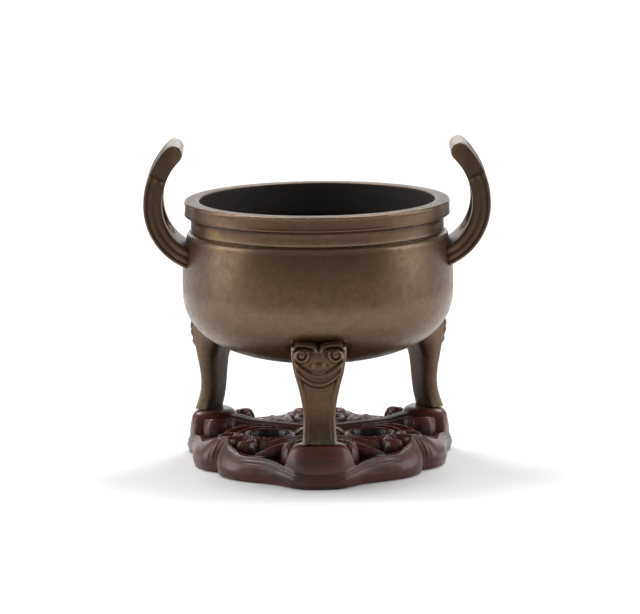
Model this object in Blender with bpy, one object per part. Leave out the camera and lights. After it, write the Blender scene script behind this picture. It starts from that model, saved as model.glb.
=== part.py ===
"""Bronze tripod censer standing on its carved hardwood stand.

Lengths are metres and angles are degrees. The origin lies on the floor under the middle of the
stand, +Z is up and the front leg points towards -Y. Heights of the censer count from its feet,
and heights of the stand count from the floor.
"""

import math

import bmesh
import bpy
import numpy as np

# Stand: overall sizes
STAND_HEIGHT = 0.026
BASE_RADIUS = 0.075
VALLEY_DEPTH = 0.0055
LOBES = 3
TONGUE_REACH = 0.0855
TONGUE_INNER_ANGLE = 8.5
TONGUE_OUTER_ANGLE = 15.0

# Stand: fascia, pads, arms and hub
RECESS_HEIGHT = 0.0095
TONGUE_EDGE_HEIGHT = 0.009
FASCIA_EDGE_HEIGHT = 0.0165
EDGE_RISE_START = 11.0
EDGE_RISE_END = 30.0
FASCIA_BULGE = 0.0024
EDGE_BEAD_WIDTH = 0.0036
PAD_HALF_WIDTH = 0.0215
PAD_DEPTH = 0.019
PAD_SQUARENESS = 2.4
PAD_STEEPNESS = 7
PAD_FULLNESS = 1.2
ARM_HEIGHT = 0.0205
ARM_HALF_WIDTH = 0.012
HUB_RADIUS = 0.019

# Stand: scrolls, curls, leaves and openings
SCROLL_RADIUS = 0.0588
SCROLL_ANGLE = 49.5
SCROLL_OUTER_BEND = 0.0135
SCROLL_INNER_BEND = 0.0052
SCROLL_START = 15.0
SCROLL_TURN = 375.0
SCROLL_HALF_WIDTH = 0.0034
SCROLL_HEIGHT = 0.0225
BUD_RADIUS = 0.0040
BUD_HEIGHT = 0.0210
CURL_RADIUS = 0.0042
CURL_HEIGHT = 0.0230
LEAF_COUNT = 2
LEAF_LENGTH = 0.0235
LEAF_SLANT = 28.0
LEAF_HALF_WIDTH = 0.0030
LEAF_SPACING = 0.0150
LEAF_HEIGHT = 0.0190
OPENING_RADIUS = 0.0125
OPENING_DISTANCE = 0.0350
OPENING_SIDES = 16
OPENING_RIM = 0.0030
OPENING_RIM_HEIGHT = 0.0205
OPENING_RIM_SHOULDER = 0.0176
SCROLL_FOOT = 0.0064
KNOB_FOOT = 0.0057
LEAF_FOOT = 0.0050
RIM_FOOT = 0.0041

# Clearance between the feet and the stand
SEAT_GAP = 0.0003

# Censer body, from the feet up
LEG_HEIGHT = 0.0608
BELLY_ABOVE_LEG = 0.0207
BELLY_TO_SHOULDER = 0.0337
NECK_LENGTH = 0.0101
RIM_THICKNESS = 0.0089
BELLY_RADIUS = 0.0817
BELLY_DEPTH = 0.0443
BELLY_RISE = 0.0845
BELLY_POWER = 2.44
SHOULDER_ROLL = 0.0022
SHOULDER_STEP = 0.0024
NECK_RADIUS = 0.0762
RIM_RADIUS = 0.080
RIM_ROUND = 0.0014
LIP_SLOPE = 0.0042
MOUTH_RADIUS = 0.071
WALL = 0.005
BODY_SEGMENTS = 42

# Handles
HANDLE_WIDTH = 0.042
HANDLE_THICKNESS = 0.0108
HANDLE_STAND_OFF = 0.0221
HANDLE_BEND_ABOVE_SHOULDER = 0.0178
LOWER_BEND = 0.035
UPPER_BEND = 0.0438
UPPER_SWEEP = 45.0
LEDGE_SWEEP = 22.5
LEDGE_SETBACK = 0.0009
FLUTE_DEPTH = 0.0010
FLUTE_GROOVES = (0.0, 0.0024, 0.0065, 0.0108)
SLOT_WIDTH = 0.022
SLOT_TOP_SWEEP = 33.0
SLOT_FOOT_SWEEP = 38.0

# Legs: shares of the leg's height, with half widths as shares of the mask's half width and
# faces measured outwards from the belly's greatest radius
LEG_COUNT = 3
LEG_COLUMNS = 13
MASK_HALF_WIDTH = 0.0163
LEG_LEVELS = (0.0, 0.13, 0.26, 0.39, 0.55, 0.71, 0.90, 1.0)
LEG_HALF_WIDTHS = (0.632, 0.589, 0.577, 0.632, 0.755, 0.911, 1.0, 0.985)
LEG_FRONTS = (0.0018, -0.0008, -0.0021, -0.0021, -0.0013, 0.0002, 0.0006, -0.0016)
LEG_BACKS = (-0.0077, -0.0098, -0.0109, -0.0112, -0.0122, -0.0175, -0.0260, -0.0300)
BORDER_WIDTH = 0.0032
PANEL_DEPTH = 0.0010
CHIN_HEIGHT = 0.0343
CHIN_CURVE = 41.0
LIP_HEIGHT = 0.0418
LIP_CURVE = 20.0
MASK_RELIEF = 0.0012
EYE_OFFSET = 0.0102
EYE_HEIGHT = 0.0528
EYE_RADIUS = 0.0042
EYE_RING = 0.0012
EYE_RELIEF = 0.0017
NOSE_HALF_WIDTH = 0.0036
NOSE_HEIGHT = 0.0462
BROW_DROP = 0.0036
BROW_ROUND = 0.0034
BROW_SINK = 0.0010

# Heights that follow from the ones above
FOOT_PLANE = STAND_HEIGHT + SEAT_GAP
BELLY_HEIGHT = LEG_HEIGHT + BELLY_ABOVE_LEG
SHOULDER_HEIGHT = BELLY_HEIGHT + BELLY_TO_SHOULDER
LIP_UNDERSIDE = SHOULDER_HEIGHT + NECK_LENGTH
RIM_HEIGHT = LIP_UNDERSIDE + RIM_THICKNESS


def clear_scene():
    """Removes every object, so that the file holds the model alone."""
    for obj in list(bpy.data.objects):
        bpy.data.objects.remove(obj)


def material(name, colour, roughness, metallic):
    """A Principled material with one colour."""
    made = bpy.data.materials.new(name)
    made.use_nodes = True
    shader = made.node_tree.nodes["Principled BSDF"]
    shader.inputs["Base Color"].default_value = (*colour, 1.0)
    shader.inputs["Roughness"].default_value = roughness
    shader.inputs["Metallic"].default_value = metallic
    made.diffuse_color = (*colour, 1.0)
    return made


def smooth_step(low, high, value):
    """Rises from 0 at low to 1 at high without a corner."""
    share = np.clip((value - low) / (high - low), 0.0, 1.0)
    return share * share * (3.0 - 2.0 * share)


def smooth_curve(levels, values, at):
    """A cubic through the given values, with each slope taken from its two neighbours."""
    levels = np.asarray(levels, float)
    values = np.asarray(values, float)
    slopes = np.gradient(values, levels)
    at = np.clip(at, levels[0], levels[-1])
    index = np.clip(np.searchsorted(levels, at, side="right") - 1, 0, len(levels) - 2)
    span = levels[index + 1] - levels[index]
    t = (at - levels[index]) / span
    return (
        (2 * t**3 - 3 * t**2 + 1) * values[index]
        + (t**3 - 2 * t**2 + t) * span * slopes[index]
        + (3 * t**2 - 2 * t**3) * values[index + 1]
        + (t**3 - t**2) * span * slopes[index + 1]
    )


def bump(distance, radius):
    """A round hump that is 1 at no distance and 0 from the radius outwards."""
    return np.sqrt(np.clip(1.0 - (distance / radius) ** 2, 0.0, 1.0))


def new_object(name, bm, surface=None):
    """Turns a bmesh into an object, smooth except at its real edges."""
    bmesh.ops.remove_doubles(bm, verts=bm.verts, dist=1e-6)
    bmesh.ops.recalc_face_normals(bm, faces=bm.faces)
    bmesh.ops.triangulate(bm, faces=bm.faces)
    mesh = bpy.data.meshes.new(name)
    bm.to_mesh(mesh)
    bm.free()
    mesh.shade_smooth()
    mesh.set_sharp_from_angle(angle=math.radians(35))
    obj = bpy.data.objects.new(name, mesh)
    bpy.context.scene.collection.objects.link(obj)
    if surface:
        mesh.materials.append(surface)
    return obj


def as_cutter(obj):
    """Marks a guide or cutter that isn't part of the finished object."""
    obj.hide_render = True
    obj.display_type = "WIRE"
    return obj


def boolean(obj, other, operation, solver="EXACT"):
    """Joins another object to this one, or cuts it away."""
    modifier = obj.modifiers.new(other.name, "BOOLEAN")
    modifier.operation = operation
    modifier.solver = solver
    modifier.object = other


def skin(rings):
    """A closed body through rings of equal point counts, with a flat face at both ends."""
    bm = bmesh.new()
    loops = [[bm.verts.new(point) for point in ring] for ring in rings]
    for lower, upper in zip(loops, loops[1:]):
        for i in range(len(lower)):
            j = (i + 1) % len(lower)
            bm.faces.new((lower[i], lower[j], upper[j], upper[i]))
    bm.faces.new(loops[0][::-1])
    bm.faces.new(loops[-1])
    return bm


def lathe(name, profile, segments, surface=None):
    """Turns (radius, height) points, from the axis back to the axis, about the upright axis."""
    bm = bmesh.new()
    points = [bm.verts.new((radius, 0.0, height)) for radius, height in profile]
    edges = [bm.edges.new(pair) for pair in zip(points, points[1:])]
    bmesh.ops.spin(
        bm,
        geom=points + edges,
        cent=(0, 0, 0),
        axis=(0, 0, 1),
        angle=math.tau,
        steps=segments,
        use_merge=True,
    )
    return new_object(name, bm, surface)


def belly_radius(height, inset=0.0):
    """The belly's radius at a height above the feet: one flattened oval below its widest
    line and a taller one above it."""
    reach = np.where(height < BELLY_HEIGHT, BELLY_DEPTH, BELLY_RISE) - inset
    share = np.clip(np.abs(height - BELLY_HEIGHT) / reach, 0.0, 1.0)
    return (BELLY_RADIUS - inset) * (1.0 - share**BELLY_POWER) ** (1.0 / BELLY_POWER)


def belly_profile(start, rings, inset=0.0):
    """Points down the belly from a height to its bottom centre, closer together where it turns."""
    depth = BELLY_DEPTH - inset
    upper = np.linspace(start, BELLY_HEIGHT, 4)[:-1]
    turn = np.linspace(0.0, math.pi / 2, rings)
    radius = (BELLY_RADIUS - inset) * np.cos(turn) ** (2 / BELLY_POWER)
    lower = BELLY_HEIGHT - depth * np.sin(turn) ** (2 / BELLY_POWER)
    points = [(float(belly_radius(z, inset)), z) for z in upper]
    points += list(zip(radius[:-1], lower[:-1]))
    return points + [(0.0, BELLY_HEIGHT - depth)]


def body_profile():
    """The outside of the bowl: flat rim, lip, waisted neck, shoulder roll and belly."""
    roll_foot = SHOULDER_HEIGHT - SHOULDER_ROLL
    roll_radius = NECK_RADIUS + SHOULDER_STEP
    return [
        (0.0, RIM_HEIGHT),
        (RIM_RADIUS - RIM_ROUND, RIM_HEIGHT),
        (RIM_RADIUS, RIM_HEIGHT - RIM_ROUND),
        (RIM_RADIUS, LIP_UNDERSIDE + RIM_ROUND / 2),
        (RIM_RADIUS - RIM_ROUND / 2, LIP_UNDERSIDE),
        (NECK_RADIUS, LIP_UNDERSIDE - LIP_SLOPE),
        (NECK_RADIUS, SHOULDER_HEIGHT),
        (roll_radius - RIM_ROUND / 2, SHOULDER_HEIGHT),
        (roll_radius, SHOULDER_HEIGHT - SHOULDER_ROLL / 2),
    ] + belly_profile(roll_foot, 10)


def cavity_profile():
    """The inside of the bowl: straight through the neck, then one wall inside the belly."""
    above = RIM_HEIGHT + WALL
    return [
        (0.0, above),
        (MOUTH_RADIUS, above),
        (MOUTH_RADIUS, SHOULDER_HEIGHT),
    ] + belly_profile(SHOULDER_HEIGHT - 2 * WALL, 7, WALL)


def raised(profile):
    """Profile points moved from the feet's plane to their height above the floor."""
    return [(radius, height + FOOT_PLANE) for radius, height in profile]


def handle_frame(sweep):
    """The handle's centre line in side view: a point and its outward direction, for an angle
    that is 0 at the handle's widest point, positive up towards the tip, negative down to the root.
    Both arcs are upright at the widest point, so they run on into each other."""
    widest = BELLY_RADIUS + HANDLE_STAND_OFF - HANDLE_THICKNESS / 2
    height = SHOULDER_HEIGHT + HANDLE_BEND_ABOVE_SHOULDER + FOOT_PLANE
    bend = UPPER_BEND if sweep > 0 else LOWER_BEND
    turn = math.radians(sweep)
    out = np.array([math.cos(turn), math.sin(turn)])
    centre = np.array([widest - bend, height])
    return centre + bend * out, out, np.array([-out[1], out[0]])


def root_sweep():
    """The angle at which the handle's centre line has passed through the bowl's wall."""
    widest = BELLY_RADIUS + HANDLE_STAND_OFF - HANDLE_THICKNESS / 2
    inside = BELLY_RADIUS - 1.4 * WALL
    share = (inside - (widest - LOWER_BEND)) / LOWER_BEND
    return -math.degrees(math.acos(min(max(share, 0.0), 1.0)))


def flute(distance, plain):
    """How far the handle's narrow face lies back, at a distance from its outer edge: rounded
    ridges that meet in grooves, or one plain face."""
    if plain:
        edge = min(distance, HANDLE_THICKNESS - distance)
        return LEDGE_SETBACK + (FLUTE_DEPTH if edge < 1e-6 else 0.0)
    grooves = np.array(FLUTE_GROOVES) * HANDLE_THICKNESS / FLUTE_GROOVES[-1]
    index = min(np.searchsorted(grooves, distance, side="right"), len(grooves) - 1)
    middle = (grooves[index - 1] + grooves[index]) / 2
    half = (grooves[index] - grooves[index - 1]) / 2
    return FLUTE_DEPTH * ((distance - middle) / half) ** 2


def handle_ring(sweep, plain, side, cap=0.0):
    """One cross-section of the handle. The cap angle draws the section in and forwards, which
    rounds the tip."""
    point, out, along = handle_frame(sweep)
    squeeze = math.cos(math.radians(cap))
    point = point + along * HANDLE_THICKNESS / 2 * math.sin(math.radians(cap))
    grooves = np.array(FLUTE_GROOVES) * HANDLE_THICKNESS / FLUTE_GROOVES[-1]
    middles = (grooves[:-1] + grooves[1:]) / 2
    stops = np.sort(np.concatenate([grooves, middles]))
    front = []
    for distance in stops:
        offset = (HANDLE_THICKNESS / 2 - distance) * squeeze
        x, z = point + out * offset
        y = HANDLE_WIDTH / 2 - flute(distance, plain)
        front.append((side * x, y, z))
    back = [(x, -y, z) for x, y, z in front[::-1]]
    return front + back


def handle(name, side):
    """One loop handle: a band swept along two arcs, fluted on its narrow faces up to the ledge,
    with a round-ended opening between its two posts."""
    root = root_sweep()
    lower = [(angle, False, 0.0) for angle in np.linspace(root, 0.0, 9)]
    upper = [(angle, False, 0.0) for angle in np.linspace(0.0, LEDGE_SWEEP, 5)[1:]]
    plain = [(angle, True, 0.0) for angle in np.linspace(LEDGE_SWEEP + 0.6, UPPER_SWEEP, 4)]
    tip = [(UPPER_SWEEP, True, cap) for cap in (40.0, 70.0, 90.0)]
    rings = [handle_ring(s, flat, side, cap) for s, flat, cap in lower + upper + plain + tip]
    band = as_cutter(new_object(name, skin(rings)))
    boolean(band, slot_cutter(name + "_opening", side), "DIFFERENCE")
    return band


def slot_cutter(name, side):
    """The handle's opening: a strip along the same arcs whose ends are half circles."""
    length_up = math.radians(SLOT_TOP_SWEEP) * UPPER_BEND
    length_down = math.radians(SLOT_FOOT_SWEEP) * LOWER_BEND
    half = SLOT_WIDTH / 2
    turns = np.radians((8.0, 30.0, 55.0, 80.0))
    near = [-length_down + half * (1 - math.cos(t)) for t in turns]
    straight = list(np.linspace(near[-1], length_up - half, 6)[1:-1])
    far = [length_up - half * (1 - math.cos(t)) for t in turns[::-1]]
    widths = [half * math.sin(t) for t in turns]
    widths = widths + [half] * len(straight) + widths[::-1]
    rings = []
    for length, width in zip(near + straight + far, widths):
        sweep = math.degrees(length / (UPPER_BEND if length > 0 else LOWER_BEND))
        point, out, _ = handle_frame(sweep)
        outer = point + out * HANDLE_THICKNESS
        inner = point - out * HANDLE_THICKNESS
        ring = [(outer, -width), (outer, width), (inner, width), (inner, -width)]
        rings.append([(side * x, y, z) for (x, z), y in ring])
    return as_cutter(new_object(name, skin(rings)))


def brow_height(across):
    """The mask's upper outline: an arch over each eye."""
    arch = bump(np.abs(across) - EYE_OFFSET, EYE_OFFSET)
    return LEG_HEIGHT - BROW_DROP * (1.0 - arch)


def mask_relief(across, height, half_width):
    """How far the front of a leg stands out: a sunk panel between borders on the shaft, and
    above the bracketed chin a mask with ringed eyes, a nose and a moulded lip."""
    size = np.abs(across)
    chin = CHIN_HEIGHT + CHIN_CURVE * across**2
    lip = LIP_HEIGHT + LIP_CURVE * across**2
    edge = half_width - BORDER_WIDTH
    on_mask = smooth_step(-0.0008, 0.0008, height - chin)
    panel = smooth_step(0.0006, -0.0006, size - edge) * (1.0 - on_mask)
    relief = on_mask * MASK_RELIEF - panel * PANEL_DEPTH
    relief = relief + 0.0006 * bump(height - lip, 0.0012)
    from_eye = np.hypot(size - EYE_OFFSET, height - EYE_HEIGHT)
    relief = relief + EYE_RELIEF * bump(from_eye - EYE_RADIUS, EYE_RING)
    relief = relief + EYE_RELIEF * bump(from_eye, EYE_RADIUS * 0.45)
    relief = relief + 0.0010 * bump(np.hypot(across, height - NOSE_HEIGHT), NOSE_HALF_WIDTH)
    under_brow = brow_height(across) - height
    return relief - 0.0014 * bump(under_brow - 0.0022, 0.0012)


def into_belly(across, height, outward):
    """Rounds the top of a leg's front over its brows and lets it sink into the belly there."""
    wall = belly_radius(height) - BROW_SINK
    over = np.clip((height - brow_height(across)) / BROW_ROUND + 1.0, 0.0, 1.0)
    return wall + (outward - wall) * np.sqrt(1.0 - over**2)


def leg_ring(height, columns):
    """One level section of a leg as (across, outwards) points: carved front, round sides, back."""
    level = height / LEG_HEIGHT
    half = MASK_HALF_WIDTH * float(smooth_curve(LEG_LEVELS, LEG_HALF_WIDTHS, level))
    front = BELLY_RADIUS + float(smooth_curve(LEG_LEVELS, LEG_FRONTS, level))
    back = BELLY_RADIUS + float(smooth_curve(LEG_LEVELS, LEG_BACKS, level))
    share = np.linspace(-1.0, 1.0, columns)
    across = share * half * 0.96
    crown = (0.0008 + 0.0022 * smooth_step(0.5, 0.85, level)) * share**2
    outward = front - crown + mask_relief(across, height, half)
    outward = into_belly(across, height, outward)
    depth = front - back
    sides = [(half, front - 0.18 * depth), (half, front - 0.55 * depth), (half * 0.86, back + 0.1 * depth)]
    rear = [(half * 0.5, back), (-half * 0.5, back)]
    points = list(zip(across, outward)) + sides + rear
    return points + [(-a, r) for a, r in sides[::-1]]


def leg(name, azimuth):
    """One mask-topped leg, which runs on up into the bowl's wall."""
    shaft = np.linspace(0.0, CHIN_HEIGHT - 0.0015, 5)
    mask = np.linspace(CHIN_HEIGHT, LEG_HEIGHT - BROW_DROP - BROW_ROUND, 7)
    brows = LEG_HEIGHT - (BROW_DROP + BROW_ROUND) * np.array([0.8, 0.6, 0.42, 0.25, 0.1, 0.0])
    turn = math.radians(azimuth)
    radial = np.array([math.cos(turn), math.sin(turn)])
    side = np.array([-math.sin(turn), math.cos(turn)])
    rings = []
    for height in np.concatenate([shaft, mask, brows]):
        ring = []
        for across, outward in leg_ring(height, LEG_COLUMNS):
            x, y = radial * outward + side * across
            ring.append((x, y, height + FOOT_PLANE))
        rings.append(ring)
    top = []
    for across, outward in leg_ring(LEG_HEIGHT, LEG_COLUMNS):
        sunk = min(outward, BELLY_RADIUS - 2 * WALL)
        x, y = radial * sunk + side * across
        top.append((x, y, LEG_HEIGHT + WALL + FOOT_PLANE))
    return as_cutter(new_object(name, skin(rings + [top])))


def leg_azimuths():
    """The legs' directions, the first one towards the front."""
    return [-90.0 + 360.0 / LEG_COUNT * i for i in range(LEG_COUNT)]


def build_censer(surface):
    """The casting: the turned body joined with its legs and handles, then hollowed."""
    body = lathe("censer", raised(body_profile()), BODY_SEGMENTS, surface)
    for i, azimuth in enumerate(leg_azimuths()):
        boolean(body, leg(f"leg_{i + 1}", azimuth), "UNION")
    for name, side in (("handle_left", -1), ("handle_right", 1)):
        boolean(body, handle(name, side), "UNION")
    cavity = lathe("cavity", raised(cavity_profile()), BODY_SEGMENTS)
    boolean(body, as_cutter(cavity), "DIFFERENCE")
    return body


def lobe_angle(azimuth):
    """The angle from the nearest lobe's middle line, the same on both of its sides."""
    pitch = 360.0 / LOBES
    return np.abs((azimuth + 90.0 + pitch / 2) % pitch - pitch / 2)


def base_radius(angle):
    """The stand's outline on the floor: a ring drawn in between the lobes, with a square
    tongue at the middle of each lobe."""
    ring = BASE_RADIUS - VALLEY_DEPTH * smooth_step(38.0, 60.0, angle)
    tongue = TONGUE_REACH / np.cos(np.radians(np.minimum(angle, 30.0))) - BASE_RADIUS
    on_tongue = 1.0 - smooth_step(TONGUE_INNER_ANGLE, TONGUE_OUTER_ANGLE, angle)
    return ring + tongue * on_tongue


def edge_height(angle):
    """The height of the fascia's upper edge: low across each tongue, high beside it."""
    rise = smooth_step(EDGE_RISE_START, EDGE_RISE_END, angle)
    return TONGUE_EDGE_HEIGHT + (FASCIA_EDGE_HEIGHT - TONGUE_EDGE_HEIGHT) * rise


def ridge(distance, half_width, height, base):
    """The height of a rounded ridge over its base at a distance from its middle line."""
    return base + (height - base) * bump(distance, half_width)


def base_height(across, outward):
    """The height of the stand's smooth top at a place given across and along a lobe's middle
    line: the recess, the arm and hub that rise from it, and the pad with its flat seat."""
    low = RECESS_HEIGHT
    pad_middle = TONGUE_REACH + FASCIA_BULGE - PAD_DEPTH
    arm = ridge(across, ARM_HALF_WIDTH, ARM_HEIGHT, low)
    height = np.where(outward < pad_middle, arm, low)
    hub = ridge(np.hypot(across, outward), HUB_RADIUS, ARM_HEIGHT, low)
    height = np.maximum(height, hub)
    aside = (np.abs(across) / PAD_HALF_WIDTH) ** PAD_SQUARENESS
    along = (np.abs(outward - pad_middle) / PAD_DEPTH) ** PAD_SQUARENESS
    spread = (aside + along) ** (1.0 / PAD_SQUARENESS)
    pad_rise = PAD_FULLNESS * (STAND_HEIGHT - low)
    pad = low + pad_rise * np.sqrt(np.clip(1.0 - spread**PAD_STEEPNESS, 0.0, 1.0))
    return np.maximum(height, np.minimum(pad, STAND_HEIGHT))


def stand_column(azimuth):
    """One radial section of the stand's base, from the floor over the fascia to the middle."""
    angle = float(lobe_angle(azimuth))
    foot = float(base_radius(angle))
    edge = float(edge_height(angle))
    lip = foot + FASCIA_BULGE / 2
    rows = [(foot, 0.0), (foot + FASCIA_BULGE, edge * 0.45), (lip, edge)]
    insets = [0.0014, EDGE_BEAD_WIDTH, 0.007, 0.012, 0.018, 0.025, 0.035, 0.050]
    for inset in insets:
        radius = lip - inset
        across = radius * math.sin(math.radians(angle))
        outward = radius * math.cos(math.radians(angle))
        bead = edge * float(bump(inset, EDGE_BEAD_WIDTH))
        rows.append((radius, max(float(base_height(across, outward)), bead)))
    turn = math.radians(azimuth)
    return [(r * math.cos(turn), r * math.sin(turn), z) for r, z in rows]


def lobe_point(lobe, side, across, outward, height):
    """A world point from a place on one side of one lobe."""
    turn = math.radians(-90.0 + 360.0 / LOBES * lobe)
    x = outward * math.cos(turn) - side * across * math.sin(turn)
    y = outward * math.sin(turn) + side * across * math.cos(turn)
    return (x, y, height)


def carving(name, lobe, side, foot, path, half_widths, tops):
    """A ridge with a rounded back that follows a path over one side of a lobe, its foot sunk
    in the recess."""
    along = np.gradient(path, axis=0)
    along /= np.linalg.norm(along, axis=1)[:, None]
    normal = np.stack([-along[:, 1], along[:, 0]], axis=1)
    section = ((-1.0, 0.0), (-0.8, 0.62), (0.0, 1.0), (0.8, 0.62), (1.0, 0.0))
    rings = []
    for place, out, half, top in zip(path, normal, half_widths, tops):
        ring = []
        for offset, rise in section:
            across, outward = place + out * offset * half
            ring.append(lobe_point(lobe, side, across, outward, foot + (top - foot) * rise))
        rings.append(ring)
    return as_cutter(new_object(name, skin(rings)))


def bud_place():
    """The middle of a scroll, across and along the lobe's middle line."""
    turn = math.radians(SCROLL_ANGLE)
    return np.array([SCROLL_RADIUS * math.sin(turn), SCROLL_RADIUS * math.cos(turn)])


def scroll_path(stations):
    """A spiral that leaves the fascia's edge, passes the valley and curls round its bud."""
    share = np.linspace(0.0, 1.0, stations)
    turn = np.radians(SCROLL_START + SCROLL_TURN * share)
    bend = SCROLL_OUTER_BEND + (SCROLL_INNER_BEND - SCROLL_OUTER_BEND) * share**0.8
    path = bud_place() + bend[:, None] * np.stack([np.sin(turn), np.cos(turn)], axis=1)
    tops = FASCIA_EDGE_HEIGHT + (SCROLL_HEIGHT - FASCIA_EDGE_HEIGHT) * smooth_step(0.0, 0.3, share)
    return path, SCROLL_HALF_WIDTH * (1.0 - 0.35 * share), tops - 0.0015 * share


def leaf_path(index, stations):
    """A side leaf of the arm: a slender ridge that slants outwards and narrows to its tip."""
    share = np.linspace(0.0, 1.0, stations)
    start = TONGUE_REACH - 2 * PAD_DEPTH + 0.004 - index * LEAF_SPACING
    slant = math.radians(LEAF_SLANT)
    across = ARM_HALF_WIDTH * 0.5 + LEAF_LENGTH * share * math.cos(slant)
    outward = start + LEAF_LENGTH * (share * math.sin(slant) + 0.10 * np.sin(math.pi * share))
    width = LEAF_HALF_WIDTH * np.sqrt(np.clip(1.05 - share**2, 0.0, 1.0))
    return np.stack([across, outward], axis=1), width, LEAF_HEIGHT - 0.003 * share**2


def knob(name, lobe, side, place, radius, top):
    """A small round bud, domed on top."""
    rings = []
    for share in (1.0, 0.85, 0.35):
        level = KNOB_FOOT + (top - KNOB_FOOT) * math.sqrt(1.0 - share**2)
        ring = []
        for turn in np.linspace(0.0, math.tau, 8)[:-1]:
            across = place[0] + radius * share * math.cos(turn)
            outward = place[1] + radius * share * math.sin(turn)
            ring.append(lobe_point(lobe, side, across, outward, level))
        rings.append(ring)
    return as_cutter(new_object(name, skin(rings)))


def opening_ring(lobe, radius, height):
    """A level ring about the opening that follows a lobe."""
    turn = math.radians(-90.0 + 360.0 / LOBES * (lobe + 0.5))
    middle_x = OPENING_DISTANCE * math.cos(turn)
    middle_y = OPENING_DISTANCE * math.sin(turn)
    ring = []
    for i in range(OPENING_SIDES):
        t = turn + math.tau * i / OPENING_SIDES
        ring.append((middle_x + radius * math.cos(t), middle_y + radius * math.sin(t), height))
    return ring


def build_openings(body):
    """A raised rim about each opening, and then the openings cut through."""
    for lobe in range(LOBES):
        rim = [
            opening_ring(lobe, OPENING_RADIUS + OPENING_RIM, RIM_FOOT),
            opening_ring(lobe, OPENING_RADIUS + OPENING_RIM * 0.8, OPENING_RIM_SHOULDER),
            opening_ring(lobe, OPENING_RADIUS + OPENING_RIM * 0.3, OPENING_RIM_HEIGHT),
        ]
        boolean(body, as_cutter(new_object(f"rim_{lobe + 1}", skin(rim))), "UNION", "MANIFOLD")
    for lobe in range(LOBES):
        hole = [opening_ring(lobe, OPENING_RADIUS, z) for z in (-STAND_HEIGHT, 2 * STAND_HEIGHT)]
        cutter = as_cutter(new_object(f"opening_{lobe + 1}", skin(hole)))
        boolean(body, cutter, "DIFFERENCE", "MANIFOLD")


def build_base(surface):
    """The stand's base as radial sections joined round the middle."""
    half_lobe = [0, 5, 8.5, 11.5, 15, 20, 26, 33, 42, 51, 60]
    one_lobe = half_lobe + [120 - a for a in half_lobe[-2:0:-1]]
    azimuths = [-90.0 + 360.0 / LOBES * lobe + a for lobe in range(LOBES) for a in one_lobe]
    bm = bmesh.new()
    columns = [[bm.verts.new(point) for point in stand_column(azimuth)] for azimuth in azimuths]
    middle = bm.verts.new((0.0, 0.0, ARM_HEIGHT))
    for first, second in zip(columns, columns[1:] + columns[:1]):
        for i in range(len(first) - 1):
            bm.faces.new((first[i], second[i], second[i + 1], first[i + 1]))
        bm.faces.new((first[-1], second[-1], middle))
    bm.faces.new([column[0] for column in columns][::-1])
    return new_object("stand", bm, surface)


def build_stand(surface):
    """The carved stand: its base, then the scrolls, buds, curls and leaves of every lobe, then
    the openings between the arms."""
    body = build_base(surface)
    curl = (PAD_HALF_WIDTH * 0.86, TONGUE_REACH + FASCIA_BULGE - PAD_DEPTH * 1.35)
    for lobe in range(LOBES):
        for side in (-1, 1):
            tag = f"{lobe + 1}_{'left' if side < 0 else 'right'}"
            carvings = [
                carving("scroll_" + tag, lobe, side, SCROLL_FOOT, *scroll_path(12)),
                knob("bud_" + tag, lobe, side, bud_place(), BUD_RADIUS, BUD_HEIGHT),
                knob("curl_" + tag, lobe, side, curl, CURL_RADIUS, CURL_HEIGHT),
            ]
            for i in range(LEAF_COUNT):
                leaf = f"leaf_{i + 1}_{tag}"
                carvings.append(carving(leaf, lobe, side, LEAF_FOOT, *leaf_path(i, 4)))
            for carved in carvings:
                boolean(body, carved, "UNION", "MANIFOLD")
    build_openings(body)
    return body


def main():
    clear_scene()
    bronze = material("bronze", (0.16, 0.105, 0.06), 0.42, 0.8)
    hardwood = material("hardwood", (0.075, 0.022, 0.014), 0.25, 0.0)
    build_censer(bronze)
    build_stand(hardwood)


main()
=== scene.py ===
"""Looks of a bronze tripod censer and its carved hardwood stand.

Lengths are metres and angles are degrees. The floor is z = 0, +Z is up and the front leg points
towards -Y. Heights of the censer count from its feet, heights of the stand from the floor.
"""

import math

import bmesh
import bpy
import numpy as np
from bpy.props import FloatProperty, FloatVectorProperty, PointerProperty
from mathutils import Matrix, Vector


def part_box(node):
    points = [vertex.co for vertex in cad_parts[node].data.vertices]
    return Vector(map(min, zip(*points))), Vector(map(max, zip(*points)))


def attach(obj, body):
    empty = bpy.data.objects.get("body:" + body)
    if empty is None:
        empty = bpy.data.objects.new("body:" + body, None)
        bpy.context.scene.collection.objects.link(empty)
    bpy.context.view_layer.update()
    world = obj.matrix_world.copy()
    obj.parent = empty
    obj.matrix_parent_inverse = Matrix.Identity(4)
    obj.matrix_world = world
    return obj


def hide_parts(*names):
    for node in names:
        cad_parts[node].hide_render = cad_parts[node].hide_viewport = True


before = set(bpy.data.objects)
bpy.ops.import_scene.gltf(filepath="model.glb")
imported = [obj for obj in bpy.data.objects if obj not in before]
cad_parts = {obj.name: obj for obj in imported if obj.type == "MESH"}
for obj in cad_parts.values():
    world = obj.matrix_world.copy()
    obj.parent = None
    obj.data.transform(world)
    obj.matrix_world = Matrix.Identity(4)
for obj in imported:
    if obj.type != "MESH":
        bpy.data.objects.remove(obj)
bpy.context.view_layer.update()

bl_info = {
    "name": "Tripod Censer",
    "version": (1, 0, 0),
    "blender": (4, 5, 0),
    "location": "View3D > Sidebar > Censer",
    "description": "Dresses a bronze tripod censer and its carved hardwood stand",
    "category": "Object",
}

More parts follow.
